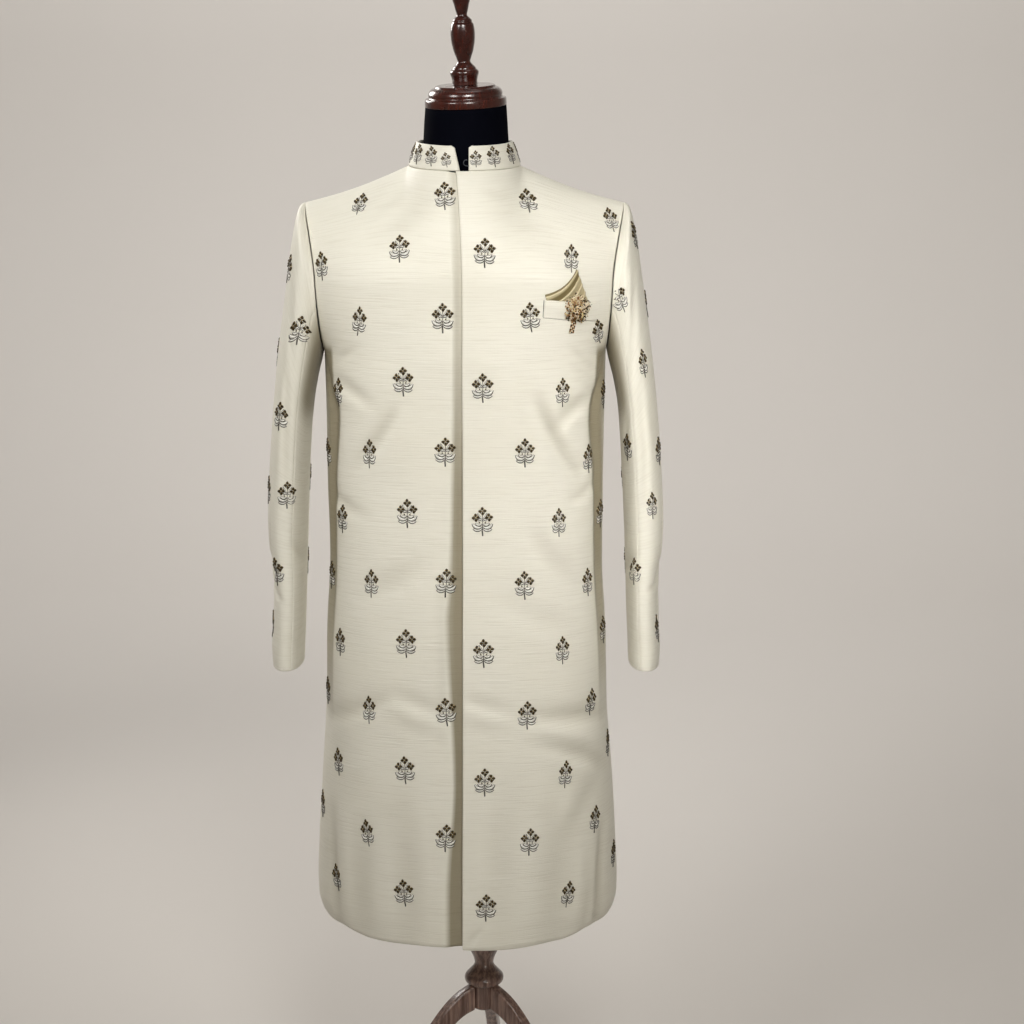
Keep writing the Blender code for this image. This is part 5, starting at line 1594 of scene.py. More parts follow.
def lathe(name: str, profile: Sequence[tuple[float, float]], finish: bpy.types.Material, node: str,
          place: Vector, turn: Euler, smoothing: int = 2, steps: int = 72) -> bpy.types.Object:
    """Turned piece from a profile of radius and height, listed from the top down.

    Args:
        name: Name of the piece.
        profile: Radii and heights, both ends on the axis.
        finish: Material.
        node: Solid that it stands for.
        place: Place of its foot.
        turn: Its lean.
        smoothing: How many times the profile's corners are cut.
        steps: Number of sides.

    Returns:
        The new object.
    """
    line = [np.array(point) for point in profile]
    for _ in range(smoothing):
        cut = [line[0]]
        for before, after in zip(line, line[1:]):
            cut += [before * 0.80 + after * 0.20, before * 0.20 + after * 0.80]
        line = cut + [line[-1]]
    radii = np.array([point[0] for point in line[1:-1]])
    heights = np.array([point[1] for point in line[1:-1]])
    angles = np.arange(steps) * 2 * math.pi / steps
    rings = np.stack([radii[:, None] * np.cos(angles), radii[:, None] * np.sin(angles),
                      np.repeat(heights[:, None], steps, axis=1)], axis=-1).reshape(-1, 3)
    count = len(radii)
    vertices = np.concatenate([rings, [[0.0, 0.0, profile[0][1]], [0.0, 0.0, profile[-1][1]]]])
    faces: list[tuple[int, ...]] = []
    for ring in range(count - 1):
        for side in range(steps):
            after = (side + 1) % steps
            faces.append((ring * steps + side, ring * steps + after, (ring + 1) * steps + after,
                          (ring + 1) * steps + side))
    for side in range(steps):
        after = (side + 1) % steps
        faces.append((count * steps, side, after))
        faces.append((count * steps + 1, (count - 1) * steps + after, (count - 1) * steps + side))
    matrix = np.array(turn.to_matrix())
    piece = link_piece(name, vertices @ matrix.T + np.array(place), faces, [finish])
    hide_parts(node)
    return piece


@dataclass
class DressForm:
    """Navy torso and neck, the turned cap and the finial."""

    form: BodyForm
    cover: bpy.types.Material
    wood: bpy.types.Material
    bottom_z: float = 0.620
    neck_x: float = 0.0024
    neck_y: float = -0.004
    neck_top_z: float = 1.5655
    neck_top_radius: float = 0.0552
    lean: float = math.radians(-2.2)
    nod: float = math.radians(4.0)
    post_x: float = 0.0235
    neck_rows: tuple[NeckRow, ...] = (NeckRow(1.4760, 0.0618, 0.0590), NeckRow(1.4950, 0.0592, 0.0575),
                                      NeckRow(1.5200, 0.0580, 0.0570), NeckRow(1.5450, 0.0566, 0.0562))
    cap_profile: tuple[tuple[float, float], ...] = (
        (0.0, 0.0278), (0.0402, 0.0278), (0.0408, 0.0262), (0.0418, 0.0248), (0.0456, 0.0236),
        (0.0490, 0.0206), (0.0506, 0.0162), (0.0500, 0.0130), (0.0512, 0.0112), (0.0553, 0.0105),
        (0.0556, 0.0010), (0.0550, 0.0), (0.0, 0.0))
    finial_profile: tuple[tuple[float, float], ...] = (
        (0.0, 0.1342), (0.0035, 0.1327), (0.0060, 0.1287), (0.0100, 0.1247), (0.0122, 0.1192),
        (0.0122, 0.1122), (0.0098, 0.1047), (0.0088, 0.0997), (0.0064, 0.0917), (0.0105, 0.0882),
        (0.0132, 0.0852), (0.0128, 0.0832), (0.0152, 0.0802), (0.0167, 0.0697), (0.0160, 0.0572),
        (0.0135, 0.0452), (0.0095, 0.0342), (0.0084, 0.0307), (0.0118, 0.0267), (0.0156, 0.0232),
        (0.0158, 0.0214), (0.0192, 0.0187), (0.0198, 0.0157), (0.0178, 0.0097), (0.0168, 0.0050),
        (0.0172, 0.0012), (0.0172, 0.0), (0.0, 0.0))

    def clearance(self, level: Level, fractions: Array) -> Array:
        """Room between the form and the cloth: little on the shoulders, more lower down."""
        front_room = 0.0080 * (1.0 - smoothstep(0.10, 0.34, fractions))
        if level[0] == "yoke":
            chest_room = 0.0080 * (1.0 - float(smoothstep(0.0, 0.6, level[1])))
            return np.maximum(np.maximum(0.0012, chest_room), front_room)
        low_room = 0.030 * (1.0 - float(smoothstep(0.80, self.form.underarm_z, level[1])))
        return np.full_like(fractions, 0.0080 + low_room)

    def torso(self) -> bpy.types.Object:
        """Torso and neck as one closed body.

        Returns:
            The new object.
        """
        levels: list[Level] = [("section", float(z)) for z in np.linspace(self.bottom_z, 1.325, 48)]
        levels += [("yoke", float(rise)) for rise in np.linspace(0.0, 0.86, 18)]
        fractions = np.concatenate([np.linspace(0.0, self.form.neck_fraction, 13)[:-1],
                                    np.linspace(self.form.neck_fraction, 0.965, 20)])
        loops = []
        grids = {}
        for side in Side:
            points = np.array([self.form.point(side, level, fractions) for level in levels])
            surface = Surface(points, points[..., 0], points[..., 2], points[..., 0],
                              outward=1.0 if side is Side.FRONT else -1.0)
            surface.normals[:, 0, 0] = 0.0
            room = np.array([WALL + self.clearance(level, fractions) for level in levels])
            grids[side] = points - surface.normals * room[..., None]
        for index, level in enumerate(levels):
            right = np.concatenate([grids[Side.FRONT][index], grids[Side.BACK][index][::-1]])
            left = right[::-1][1:-1] * np.array([-1.0, 1.0, 1.0])
            loop = np.concatenate([right, left])
            if index == 0:
                loop[:, 2] = self.bottom_z
            if level[0] == "section" and level[1] < self.form.underarm_z:
                share = (self.form.underarm_z - level[1]) / (self.form.underarm_z - self.bottom_z)
                loop[:, 0] += self.post_x * share
            loops.append(loop)
        split = self.form.neck_fraction / 0.965
        part = fractions / 0.965
        angles = np.where(part <= split, np.radians(66.0) * part / split,
                          np.radians(66.0 + 22.0 * (part - split) / (1.0 - split)))
        right_angles = np.concatenate([angles, math.pi - angles[::-1]])
        around = np.concatenate([right_angles, 2 * math.pi - right_angles[::-1][1:-1]])
        for row in self.neck_rows:
            loops.append(np.stack([self.neck_x + row.half_width * np.sin(around),
                                   self.neck_y - row.half_depth * np.cos(around),
                                   np.full_like(around, row.z)], axis=-1))
        ring = np.stack([np.sin(around), -np.cos(around), np.zeros_like(around)], axis=-1) * self.neck_top_radius
        matrix = np.array(Euler((self.nod, self.lean, 0.0)).to_matrix())
        loops.append(ring @ matrix.T + np.array([self.neck_x, self.neck_y, self.neck_top_z]))
        size = len(around)
        vertices = np.concatenate(loops) + np.array([0.0, PART_Y, 0.0])
        faces: list[tuple[int, ...]] = [tuple(range(size)), tuple((len(loops) - 1) * size + i for i in range(size))]
        for row in range(len(loops) - 1):
            for index in range(size):
                after = (index + 1) % size
                faces.append((row * size + index, row * size + after, (row + 1) * size + after,
                              (row + 1) * size + index))
        piece = link_piece("form_cover", vertices, faces, [self.cover])
        piece.data.set_sharp_from_angle(angle=math.radians(60))
        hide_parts("form_torso")
        return piece

    def build(self) -> None:
        """Make the torso, the cap and the finial."""
        self.torso()
        turn = Euler((self.nod, self.lean, 0.0))
        up = Vector((0.0, 0.0, 1.0))
        up.rotate(turn)
        foot = Vector((self.neck_x, self.neck_y + PART_Y, self.neck_top_z)) + up * SEAT_GAP
        lathe("turned_cap", self.cap_profile, self.wood, "form_cap", foot, turn)
        lathe("turned_finial", self.finial_profile, self.wood, "form_finial",
              foot + up * (self.cap_profile[0][1] + SEAT_GAP), turn)


class LegStation(NamedTuple):
    """Middle of a leg's section, its half height and how far it faces down."""

    reach: float
    z: float
    half_height: float
    facing: float


@dataclass
class Stand:
    """Turned post and three curved legs."""

    wood: bpy.types.Material
    post_x: float = 0.0235
    half_width: float = 0.0090
    azimuths: tuple[tuple[str, float], ...] = (("leg_left", 205.0), ("leg_right", 324.0), ("leg_back", 84.0))
    stations: tuple[LegStation, ...] = (
        LegStation(0.0190, 0.2630, 0.0195, 0.0), LegStation(0.0385, 0.2545, 0.0168, 22.0),
        LegStation(0.0590, 0.2385, 0.0144, 39.0), LegStation(0.0810, 0.2130, 0.0132, 49.0),
        LegStation(0.1050, 0.1800, 0.0126, 54.0), LegStation(0.1300, 0.1430, 0.0122, 56.0),
        LegStation(0.1560, 0.1050, 0.0118, 55.0), LegStation(0.1830, 0.0695, 0.0114, 50.0),
        LegStation(0.2110, 0.0410, 0.0110, 44.0), LegStation(0.2360, 0.0180, 0.0112, 62.0),
        LegStation(0.2420, 0.0000, 0.0120, 90.0))
    post_profile: tuple[tuple[float, float], ...] = (
        (0.0, 0.6197), (0.0300, 0.6197), (0.0300, 0.6120), (0.0150, 0.6080), (0.0150, 0.4000),
        (0.0190, 0.3900), (0.0240, 0.3760), (0.0250, 0.3640), (0.0236, 0.3480), (0.0204, 0.3355),
        (0.0155, 0.3240), (0.0135, 0.3150), (0.0165, 0.3085), (0.0225, 0.3020), (0.0280, 0.2960),
        (0.0290, 0.2920), (0.0284, 0.2875), (0.0250, 0.2840), (0.0190, 0.2828), (0.0185, 0.2800),
        (0.0185, 0.2470), (0.0160, 0.2440), (0.0, 0.2440))
    groove_at: float = -0.45
    groove_depth: float = 0.0011

    def section(self) -> list[tuple[float, float]]:
        """Rounded oblong section of a leg, across and up from -1 to 1; the carved line along its upper face is cut in
        leg.
        """
        corners = []
        for index in range(40):
            turn = 2 * math.pi * (index + 0.5) / 40
            across = math.copysign(abs(math.cos(turn)) ** 0.36, math.cos(turn))
            rise = math.copysign(abs(math.sin(turn)) ** 0.36, math.sin(turn))
            corners.append((across, rise))
        return corners

    def leg(self, node: str, azimuth: float) -> bpy.types.Object:
        """One leg.

        Args:
            node: Solid that it stands for.
            azimuth: Direction in degrees.

        Returns:
            The new object.
        """
        rows = []
        last = len(self.stations) - 1
        values = np.array(self.stations)
        for index in range(last):
            steps = 5
            for share in np.arange(steps + (index == last - 1)) / steps:
                p0, p1 = values[max(index - 1, 0)], values[index]
                p2, p3 = values[index + 1], values[min(index + 2, last)]
                rows.append(0.5 * (2 * p1 + (p2 - p0) * share + (2 * p0 - 5 * p1 + 4 * p2 - p3) * share ** 2
                                   + (3 * p1 - p0 - 3 * p2 + p3) * share ** 3))
        rows[-1] = values[-1]
        section = self.section()
        turn = math.radians(azimuth)
        cosine, sine = math.cos(turn), math.sin(turn)
        vertices = []
        for reach, z, half_height, facing in rows:
            face = math.radians(facing)
            fade = float(smoothstep(0.03, 0.05, reach)) * (1.0 - float(smoothstep(0.225, 0.238, reach)))
            for across, rise in section:
                cut = 0.0
                if rise > 0.5:
                    cut = self.groove_depth * fade * math.exp(-((across - self.groove_at) / 0.16) ** 2)
                out = reach + math.sin(face) * (half_height * rise - cut)
                up = z + math.cos(face) * (half_height * rise - cut)
                side = self.half_width * across
                vertices.append((self.post_x + out * cosine - side * sine,
                                 PART_Y + out * sine + side * cosine, max(up, 0.0)))
        size = len(section)
        faces: list[tuple[int, ...]] = [tuple(range(size)), tuple((len(rows) - 1) * size + i for i in range(size))]
        for row in range(len(rows) - 1):
            for index in range(size):
                after = (index + 1) % size
                faces.append((row * size + index, row * size + after, (row + 1) * size + after,
                              (row + 1) * size + index))
        piece = link_piece(f"wood_{node}", np.array(vertices), faces, [self.wood])
        piece.data.set_sharp_from_angle(angle=math.radians(50))
        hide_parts(node)
        return piece

    def build(self) -> None:
        """Make the post and the legs."""
        lathe("turned_post", self.post_profile, self.wood, "post",
              Vector((self.post_x, PART_Y, 0.0)), Euler((0.0, 0.0, 0.0)))
        for node, azimuth in self.azimuths:
            self.leg(node, azimuth)


class Sock:
    """Number or vector output of a node, on which arithmetic adds Math nodes."""

    def __init__(self, shading: "Shading", socket: bpy.types.NodeSocket) -> None:
        """Wrap an output socket."""
        self.shading = shading
        self.socket = socket

    def _math(self, operation: str, first: Any, second: Any) -> "Sock":
        """Add a Math node."""
        return self.shading.node("ShaderNodeMath", {"operation": operation}, {0: first, 1: second})

    def __add__(self, other: Any) -> "Sock":
        """Sum."""
        return self._math("ADD", self, other)

    def __radd__(self, other: Any) -> "Sock":
        """Sum, reflected."""
        return self._math("ADD", other, self)

    def __sub__(self, other: Any) -> "Sock":
        """Difference."""
        return self._math("SUBTRACT", self, other)

    def __rsub__(self, other: Any) -> "Sock":
        """Difference, reflected."""
        return self._math("SUBTRACT", other, self)

    def __mul__(self, other: Any) -> "Sock":
        """Product."""
        return self._math("MULTIPLY", self, other)

    def __rmul__(self, other: Any) -> "Sock":
        """Product, reflected."""
        return self._math("MULTIPLY", other, self)

    def __pow__(self, other: Any) -> "Sock":
        """Power."""
        return self._math("POWER", self, other)


class Shading:
    """Node tree of one material with its Principled shader."""

    def __init__(self, name: str) -> None:
        """Start a material."""
        self.material = bpy.data.materials.new(name)
        self.material.use_nodes = True
        self.tree = self.material.node_tree
        self.shader = self.tree.nodes["Principled BSDF"]

    def node(self, kind: str, settings: dict[str, Any], inputs: dict[Any, Any], output: Any = 0) -> Sock:
        """Add a node.

        Args:
            kind: Type of the node.
            settings: Its properties, set first; stops holds a ramp's stops.
            inputs: Values or links of its sockets, by name or index.
            output: Name or index of the output to wrap.

        Returns:
            The wrapped output.
        """
        node = self.tree.nodes.new(kind)
        for key, value in settings.items():
            if key == "stops":
                ramp = node.color_ramp
                while len(ramp.elements) < len(value):
                    ramp.elements.new(0.5)
                for element, (place, colour) in zip(ramp.elements, value):
                    element.position = place
                    element.color = (*colour, 1.0)
            else:
                setattr(node, key, value)
        for key, value in inputs.items():
            if isinstance(value, Sock):
                self.tree.links.new(value.socket, node.inputs[key])
            elif isinstance(value, tuple) and len(value) == 3 and node.inputs[key].type == "RGBA":
                node.inputs[key].default_value = (*value, 1.0)
            else:
                node.inputs[key].default_value = value
        return Sock(self, node.outputs[output])

    def cloth_place(self) -> Sock:
        """Place on the cloth, in metres round and up."""
        return self.node("ShaderNodeUVMap", {"uv_map": CLOTH_MAP}, {})

    def object_place(self) -> Sock:
        """Place on the piece, in metres."""
        return self.node("ShaderNodeTexCoord", {}, {}, "Object")

    def scaled(self, place: Sock, scale: tuple[float, float, float]) -> Sock:
        """Place stretched along each axis."""
        return self.node("ShaderNodeMapping", {"vector_type": "POINT"}, {"Vector": place, "Scale": scale})

    def noise(self, place: Sock, scale: float, detail: float = 2.0, roughness: float = 0.5) -> Sock:
        """Smooth noise from 0 to 1."""
        return self.node("ShaderNodeTexNoise", {}, {"Vector": place, "Scale": scale, "Detail": detail,
                                                    "Roughness": roughness})

    def ramp(self, value: Sock, low: float, high: float) -> Sock:
        """Share of a value's way from low to high, eased and kept from 0 to 1."""
        return self.node("ShaderNodeMapRange", {"interpolation_type": "SMOOTHSTEP"},
                         {"Value": value, "From Min": low, "From Max": high})

    def mix(self, factor: Any, first: Any, second: Any) -> Sock:
        """Mix of two colours."""
        return self.node("ShaderNodeMix", {"data_type": "RGBA"}, {0: factor, 6: first, 7: second}, 2)

    def bump(self, height: Sock, distance: float, strength: float = 1.0) -> Sock:
        """Normal from a height."""
        return self.node("ShaderNodeBump", {}, {"Height": height, "Distance": distance, "Strength": strength})

    def finish(self, inputs: dict[str, Any]) -> bpy.types.Material:
        """Set or link the shader's own sockets and give the material."""
        for key, value in inputs.items():
            if isinstance(value, Sock):
                self.tree.links.new(value.socket, self.shader.inputs[key])
            elif isinstance(value, tuple):
                self.shader.inputs[key].default_value = (*value, 1.0) if len(value) == 3 else value
            else:
                self.shader.inputs[key].default_value = value
        return self.material


@dataclass(frozen=True)
class RawSilk:
    """Ivory raw silk: fine uneven weft slubs lying across, with a soft sheen, darkened by painted shade where the
    piece's shade attribute is set.
    """

    name: str = "ivory_raw_silk"
    light: Colour = (0.860, 0.838, 0.742)
    dark: Colour = (0.560, 0.520, 0.410)
    warm: Colour = (0.820, 0.780, 0.640)
    # Colour of full painted shade: the silk's colour is multiplied towards it by the pieces' shade attribute.
    painted_shade: Colour = (0.380, 0.345, 0.270)
    bump_depth: float = 0.00042

    def make(self) -> bpy.types.Material:
        """Build the material."""
        shading = Shading(self.name)
        place = shading.cloth_place()
        streak = shading.noise(shading.scaled(place, (15.0, 520.0, 1.0)), 1.0, 3.0, 0.62)
        fine = shading.noise(shading.scaled(place, (60.0, 1300.0, 1.0)), 1.0, 2.0, 0.6)
        slub = shading.ramp(shading.noise(shading.scaled(place, (14.0, 260.0, 1.0)), 1.0, 2.0, 0.5), 0.60, 0.78)
        cloud = shading.noise(place, 7.0, 3.0, 0.55)
        warp = shading.noise(shading.scaled(place, (900.0, 30.0, 1.0)), 1.0, 1.0, 0.5)
        line = shading.ramp(streak, 0.44, 0.70)
        tint = shading.mix(line * 0.20 + fine * 0.12 + warp * 0.05, self.light, self.dark)
        tint = shading.mix(shading.ramp(cloud, 0.35, 0.75) * 0.22, tint, self.warm)
        tint = shading.mix(slub * 0.30, tint, (0.88, 0.86, 0.78))
        # Painted shade: the shade attribute darkens the colour in the sunk strip beside the front overlap, in the
        # creases, behind the side fold and at the armpits.
        painted_shade = shading.node("ShaderNodeAttribute", {"attribute_name": SHADE}, {}, "Fac")
        tint = shading.node("ShaderNodeMix", {"data_type": "RGBA", "blend_type": "MULTIPLY"},
                            {0: painted_shade, 6: tint, 7: self.painted_shade}, 2)
        height = slub * 0.55 - line * 0.45 + fine * 0.25 + warp * 0.12
        return shading.finish({
            "Base Color": tint, "Roughness": 0.50 + line * 0.12 - slub * 0.08,
            "Normal": shading.bump(height, self.bump_depth), "Sheen Weight": 0.12, "Sheen Roughness": 0.40,
            "Sheen Tint": (0.95, 0.93, 0.86), "Specular IOR Level": 0.45})


@dataclass(frozen=True)
class Satin:
    """Olive-gold satin of the pocket square, darkened by painted shade in its pleats' recesses."""

    name: str = "olive_gold_satin"
    light: Colour = (0.700, 0.610, 0.400)
    dark: Colour = (0.440, 0.370, 0.210)
    # Colour of full painted shade in the pleats' recesses.
    painted_recess_shade: Colour = (0.300, 0.270, 0.160)

    def make(self) -> bpy.types.Material:
        """Build the material."""
        shading = Shading(self.name)
        place = shading.cloth_place()
        weave = shading.noise(shading.scaled(place, (1400.0, 220.0, 1.0)), 1.0, 2.0, 0.5)
        cloud = shading.noise(place, 60.0, 2.0, 0.5)
        tint = shading.mix(cloud * 0.7 + weave * 0.3, self.dark, self.light)
        # Painted shade: the shade attribute darkens the satin towards the recess colour in the pleats' recesses.
        sunk = shading.node("ShaderNodeAttribute", {"attribute_name": SHADE}, {}, "Fac")
        tint = shading.node("ShaderNodeMix", {"data_type": "RGBA", "blend_type": "MULTIPLY"},
                            {0: sunk, 6: tint, 7: self.painted_recess_shade}, 2)
        return shading.finish({"Base Color": tint, "Roughness": 0.26 + weave * 0.14,
                               "Normal": shading.bump(weave, 0.00010), "Sheen Weight": 0.25,
                               "Sheen Roughness": 0.3, "Specular IOR Level": 0.7})


@dataclass(frozen=True)
class BeadFinish:
    """Metal bead or thread with tarnish between its high places."""

    name: str
    light: Colour
    dark: Colour
    roughness: float
    metallic: float
    scale: float = 900.0

    def make(self) -> bpy.types.Material:
        """Build the material."""
        shading = Shading(self.name)
        place = shading.object_place()
        mottle = shading.noise(place, self.scale, 2.0, 0.6)
        share = shading.ramp(mottle, 0.35, 0.65)
        return shading.finish({"Base Color": shading.mix(share, self.dark, self.light),
                               "Roughness": self.roughness + 0.18 * (1.0 - share), "Metallic": self.metallic,
                               "Normal": shading.bump(mottle, 0.00012)})


@dataclass(frozen=True)
class PolishedWood:
    """Dark stained hardwood with upright grain under a gloss finish."""

    name: str
    light: Colour
    dark: Colour
    grain: tuple[float, float, float]
    coat: float
    roughness: float

    def make(self) -> bpy.types.Material:
        """Build the material."""
        shading = Shading(self.name)
        place = shading.scaled(shading.object_place(), self.grain)
        fibre = shading.noise(place, 1.0, 4.0, 0.65)
        broad = shading.noise(place, 0.24, 2.0, 0.5)
        wear = shading.noise(shading.object_place(), 70.0, 3.0, 0.6)
        tint = shading.mix(shading.ramp(fibre, 0.38, 0.66) * 0.75 + shading.ramp(broad, 0.4, 0.7) * 0.25,
                           self.dark, self.light)
        return shading.finish({"Base Color": tint,
                               "Roughness": self.roughness + shading.ramp(wear, 0.45, 0.8) * 0.16,
                               "Coat Weight": self.coat * (1.0 - 0.35 * shading.ramp(wear, 0.55, 0.85)),
                               "Coat Roughness": 0.16, "Normal": shading.bump(fibre, 0.00018)})


@dataclass(frozen=True)
class Jersey:
    """Close navy jersey over the form, nearly black."""

    name: str = "navy_jersey"
    light: Colour = (0.0030, 0.0034, 0.0066)
    dark: Colour = (0.0012, 0.0014, 0.0032)

    def make(self) -> bpy.types.Material:
        """Build the material."""
        shading = Shading(self.name)
        place = shading.object_place()
        knit = shading.noise(shading.scaled(place, (900.0, 900.0, 1400.0)), 1.0, 1.0, 0.5)
        cloud = shading.noise(place, 22.0, 2.0, 0.5)
        return shading.finish({"Base Color": shading.mix(cloud * 0.6 + knit * 0.4, self.dark, self.light),
                               "Roughness": 0.82 + knit * 0.10, "Normal": shading.bump(knit, 0.00015),
                               "Specular IOR Level": 0.02})


@dataclass(frozen=True)
class PlainGround:
    """Plain pale floor and backdrop."""

    name: str = "pale_ground"
    light: Colour = (0.720, 0.690, 0.655)
    dark: Colour = (0.690, 0.660, 0.625)

    def make(self) -> bpy.types.Material:
        """Build the material."""
        shading = Shading(self.name)
        cloud = shading.noise(shading.object_place(), 0.8, 2.0, 0.5)
        return shading.finish({"Base Color": shading.mix(cloud, self.dark, self.light), "Roughness": 0.85,
                               "Specular IOR Level": 0.2})


class Lamp(NamedTuple):
    """Soft light: its place, what it looks at, its size, power and colour."""

    name: str
    place: tuple[float, float, float]
    target: tuple[float, float, float]
    size: float
    power: float
    colour: Colour
    spread: float


@dataclass
class Studio:
    """Floor, soft lights and the camera."""

    ground: bpy.types.Material
    camera_x: float = 0.065
    camera_y: float = -2.95 + PART_Y
    camera_z: float = 1.66
    pitch: float = math.atan(0.66 / 2.95)
    focal: float = 75.03
    sensor: float = 36.0
    lamps: tuple[Lamp, ...] = (
        Lamp("key_light", (-1.30, -1.75, 2.45), (0.0, -0.10, 1.27), 0.8, 2.45, (1.0, 0.99, 0.965), 62.0),
        Lamp("fill_light", (0.35, -2.30, 2.55), (0.05, -0.15, 1.26), 0.9, 4.25, (1.0, 0.985, 0.95), 56.0),
        Lamp("side_light", (0.95, -2.10, 1.75), (0.33, 0.0, 1.08), 0.6, 0.60, (1.0, 0.98, 0.94), 24.0),
        Lamp("hem_light", (0.60, -2.20, 0.75), (0.08, 0.0, 0.40), 0.5, 0.16, (1.0, 0.98, 0.92), 26.0),
        Lamp("top_light", (0.10, 0.20, 3.20), (0.0, 0.0, 1.40), 1.0, 0.9, (1.0, 0.98, 0.95), 110.0),
        Lamp("back_light", (-1.60, 1.60, 2.30), (0.0, 0.0, 1.20), 1.2, 16.0, (1.0, 0.97, 0.93), 120.0),
        Lamp("backdrop_light", (0.0, 2.00, 4.40), (0.0, 5.20, 1.20), 2.4, 95.0, (1.0, 0.99, 0.98), 150.0),
    )

    def build(self) -> None:
        """Make the round floor with its curved wall, the lights and the camera."""
        profile = [(1.2, 0.0), (2.4, 0.0), (3.6, 0.0)]
        for step in range(1, 13):
            turn = math.pi / 2 * step / 12
            profile.append((3.6 + 1.6 * math.sin(turn), 1.6 * (1.0 - math.cos(turn))))
        profile.append((5.2, 5.5))
        sides = 72
        vertices = [(0.0, 0.0, -0.0005)]
        for reach, z in profile:
            for side in range(sides):
                turn = 2 * math.pi * side / sides
                vertices.append((reach * math.cos(turn), reach * math.sin(turn), z - 0.0005))
        faces = [(0, 1 + side, 1 + (side + 1) % sides) for side in range(sides)]
        for ring in range(len(profile) - 1):
            first = 1 + ring * sides
            for side in range(sides):
                after = (side + 1) % sides
                faces.append((first + side, first + sides + side, first + sides + after, first + after))
        mesh = bpy.data.meshes.new("pale_floor")
        mesh.from_pydata(vertices, [], faces)
        mesh.materials.append(self.ground)
        mesh.shade_smooth()
        floor = bpy.data.objects.new("pale_floor", mesh)
        bpy.context.scene.collection.objects.link(floor)
        for lamp in self.lamps:
            light = bpy.data.lights.new(lamp.name, "AREA")
            light.shape = "DISK"
            light.size = lamp.size
            light.energy = lamp.power
            light.color = lamp.colour
            light.spread = math.radians(lamp.spread)
            holder = bpy.data.objects.new(lamp.name, light)
            holder.location = lamp.place
            holder.rotation_euler = (Vector(lamp.target) - Vector(lamp.place)).to_track_quat("-Z", "Y").to_euler()
            bpy.context.scene.collection.objects.link(holder)
        bpy.context.scene.view_settings.view_transform = "Standard"
        world = bpy.context.scene.world or bpy.data.worlds.new("studio_world")
        bpy.context.scene.world = world
        world.use_nodes = True
        background = world.node_tree.nodes["Background"]
        background.inputs["Color"].default_value = (1.0, 0.93, 0.80, 1.0)
        background.inputs["Strength"].default_value = 0.13
        self.add_camera()

    def add_camera(self) -> None:
        """Make the camera at the photograph's viewing angle."""
        data = bpy.data.cameras.new("view")
        data.lens = self.focal
        data.sensor_width = self.sensor
        data.sensor_fit = "HORIZONTAL"
        data.clip_end = 30.0
        camera = bpy.data.objects.new("view", data)
        camera.location = (self.camera_x, self.camera_y, self.camera_z)
        camera.rotation_euler = (math.pi / 2 - self.pitch, 0.0, 0.0)
        bpy.context.scene.collection.objects.link(camera)
        bpy.context.scene.camera = camera


class Cut(NamedTuple):
    """Flat size that a piece of cloth was cut to: its widest, its longest and its area."""

    width: float
    length: float
    area: float


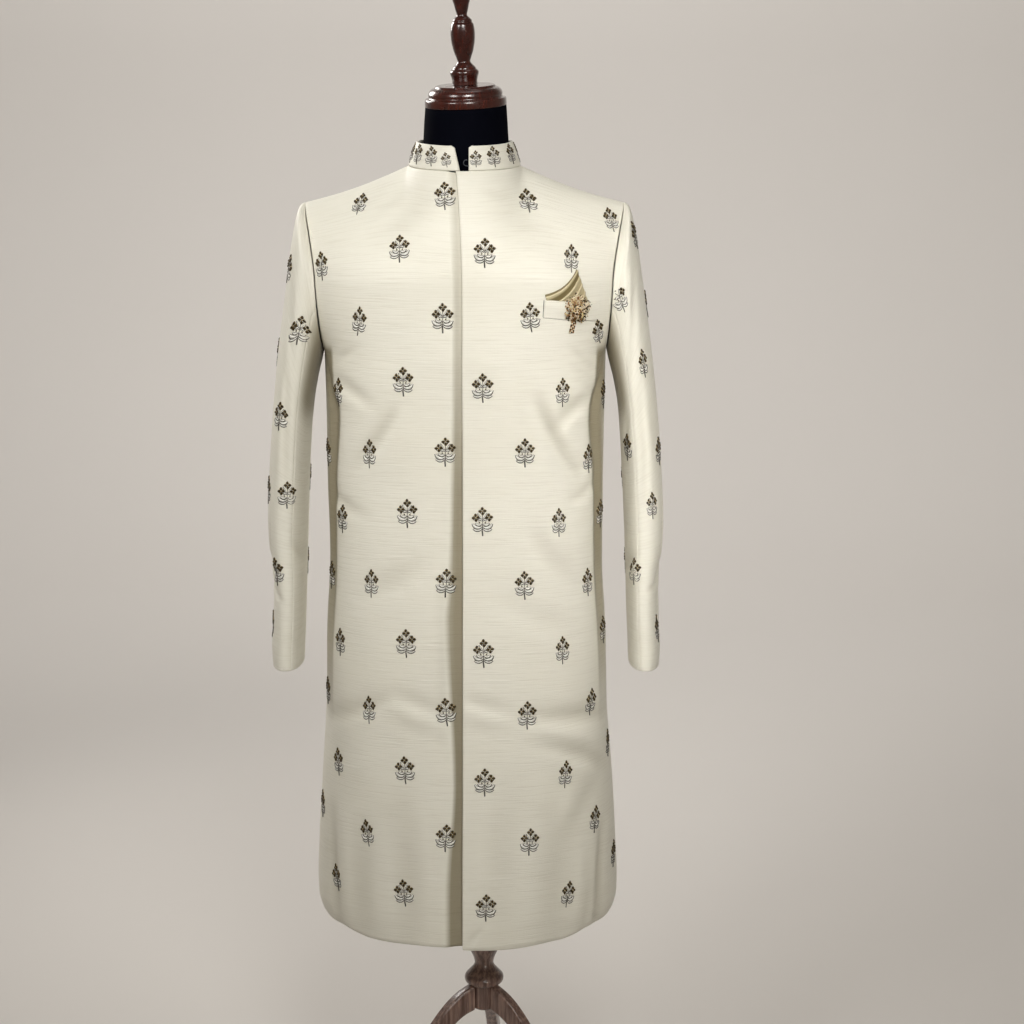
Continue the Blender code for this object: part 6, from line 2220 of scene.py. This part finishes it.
def main() -> None:
    """Build every sub-assembly, lay the sprigs and report each piece."""
    logging.basicConfig(level=logging.INFO, format="%(name)s: %(message)s")
    silk = RawSilk().make()
    satin = Satin().make()
    threads = [
        BeadFinish("dark_gold_beads", (0.100, 0.066, 0.020), (0.022, 0.014, 0.004), 0.30, 0.45).make(),
        BeadFinish("bright_gold_beads", (0.800, 0.660, 0.380), (0.420, 0.310, 0.140), 0.28, 0.80).make(),
        BeadFinish("leaf_silk", (0.940, 0.925, 0.880), (0.800, 0.775, 0.700), 0.36, 0.0).make(),
        BeadFinish("outline_thread", (0.125, 0.110, 0.085), (0.040, 0.036, 0.027), 0.50, 0.15).make(),
        BeadFinish("copper_beads", (0.420, 0.235, 0.105), (0.160, 0.080, 0.034), 0.30, 0.70).make(),
        BeadFinish("cream_beads", (0.860, 0.770, 0.600), (0.560, 0.430, 0.270), 0.26, 0.20).make(),
    ]
    wire = BeadFinish("hook_wire", (0.110, 0.115, 0.130), (0.060, 0.064, 0.075), 0.36, 0.9).make()
    turned_wood = PolishedWood("turned_mahogany", (0.074, 0.012, 0.006), (0.026, 0.0045, 0.0030),
                               (260.0, 260.0, 11.0), 0.70, 0.22).make()
    # Painted light: the stand's mahogany is made much paler than the turned mahogany, to make up for the shade the
    # coat casts on the stand.
    lightened_stand_wood = PolishedWood("stand_mahogany_painted_light", (0.300, 0.190, 0.150), (0.080, 0.042, 0.032),
                              (220.0, 220.0, 16.0), 0.50, 0.28).make()
    cover = Jersey().make()
    form = BodyForm()
    body = CoatBody(form, silk)
    sleeves = Sleeves(form, silk)
    collar = Collar(form, silk, wire)
    panels = {**body.build(), **sleeves.build(), **collar.build()}
    surfaces = {**body.surfaces, **sleeves.surfaces, **collar.surfaces}
    embroidery = Embroidery(threads)
    runs = {"front_left": FRONT_LEFT_SPRIGS, "front_right": FRONT_RIGHT_SPRIGS,
            "back_left": BACK_LEFT_SPRIGS, "back_right": BACK_RIGHT_SPRIGS}
    singles = {"upper_sleeve_left": SLEEVE_LEFT_SPRIGS, "upper_sleeve_right": SLEEVE_RIGHT_SPRIGS,
               "under_sleeve_left": UNDER_SLEEVE_SPRIGS, "under_sleeve_right": UNDER_SLEEVE_SPRIGS,
               "collar_left": COLLAR_LEFT_SPRIGS, "collar_right": COLLAR_RIGHT_SPRIGS}
    for node, surface in surfaces.items():
        if node in runs:
            places = embroidery.columns_on(surface, runs[node])
        elif "sleeve" in node:
            places = embroidery.sleeve_places(surface, [sprig for sprig in singles[node] if not sprig.across])
        else:
            places = embroidery.singles_on(surface, singles[node])
        sprigs = [embroidery.lay(f"sprigs_{node}", surface, places)]
        if node in sleeves.across:
            places = embroidery.sleeve_places(sleeves.across[node], [s for s in singles[node] if s.across])
            sprigs.append(embroidery.lay(f"seam_sprigs_{node}", sleeves.across[node], places))
    BreastPocket(form, surfaces["front_left"], silk, satin, embroidery).build()
    DressForm(form, cover, turned_wood).build()
    Stand(lightened_stand_wood).build()
    Studio(PlainGround().make()).build()


if __name__ == "__main__":
    main()
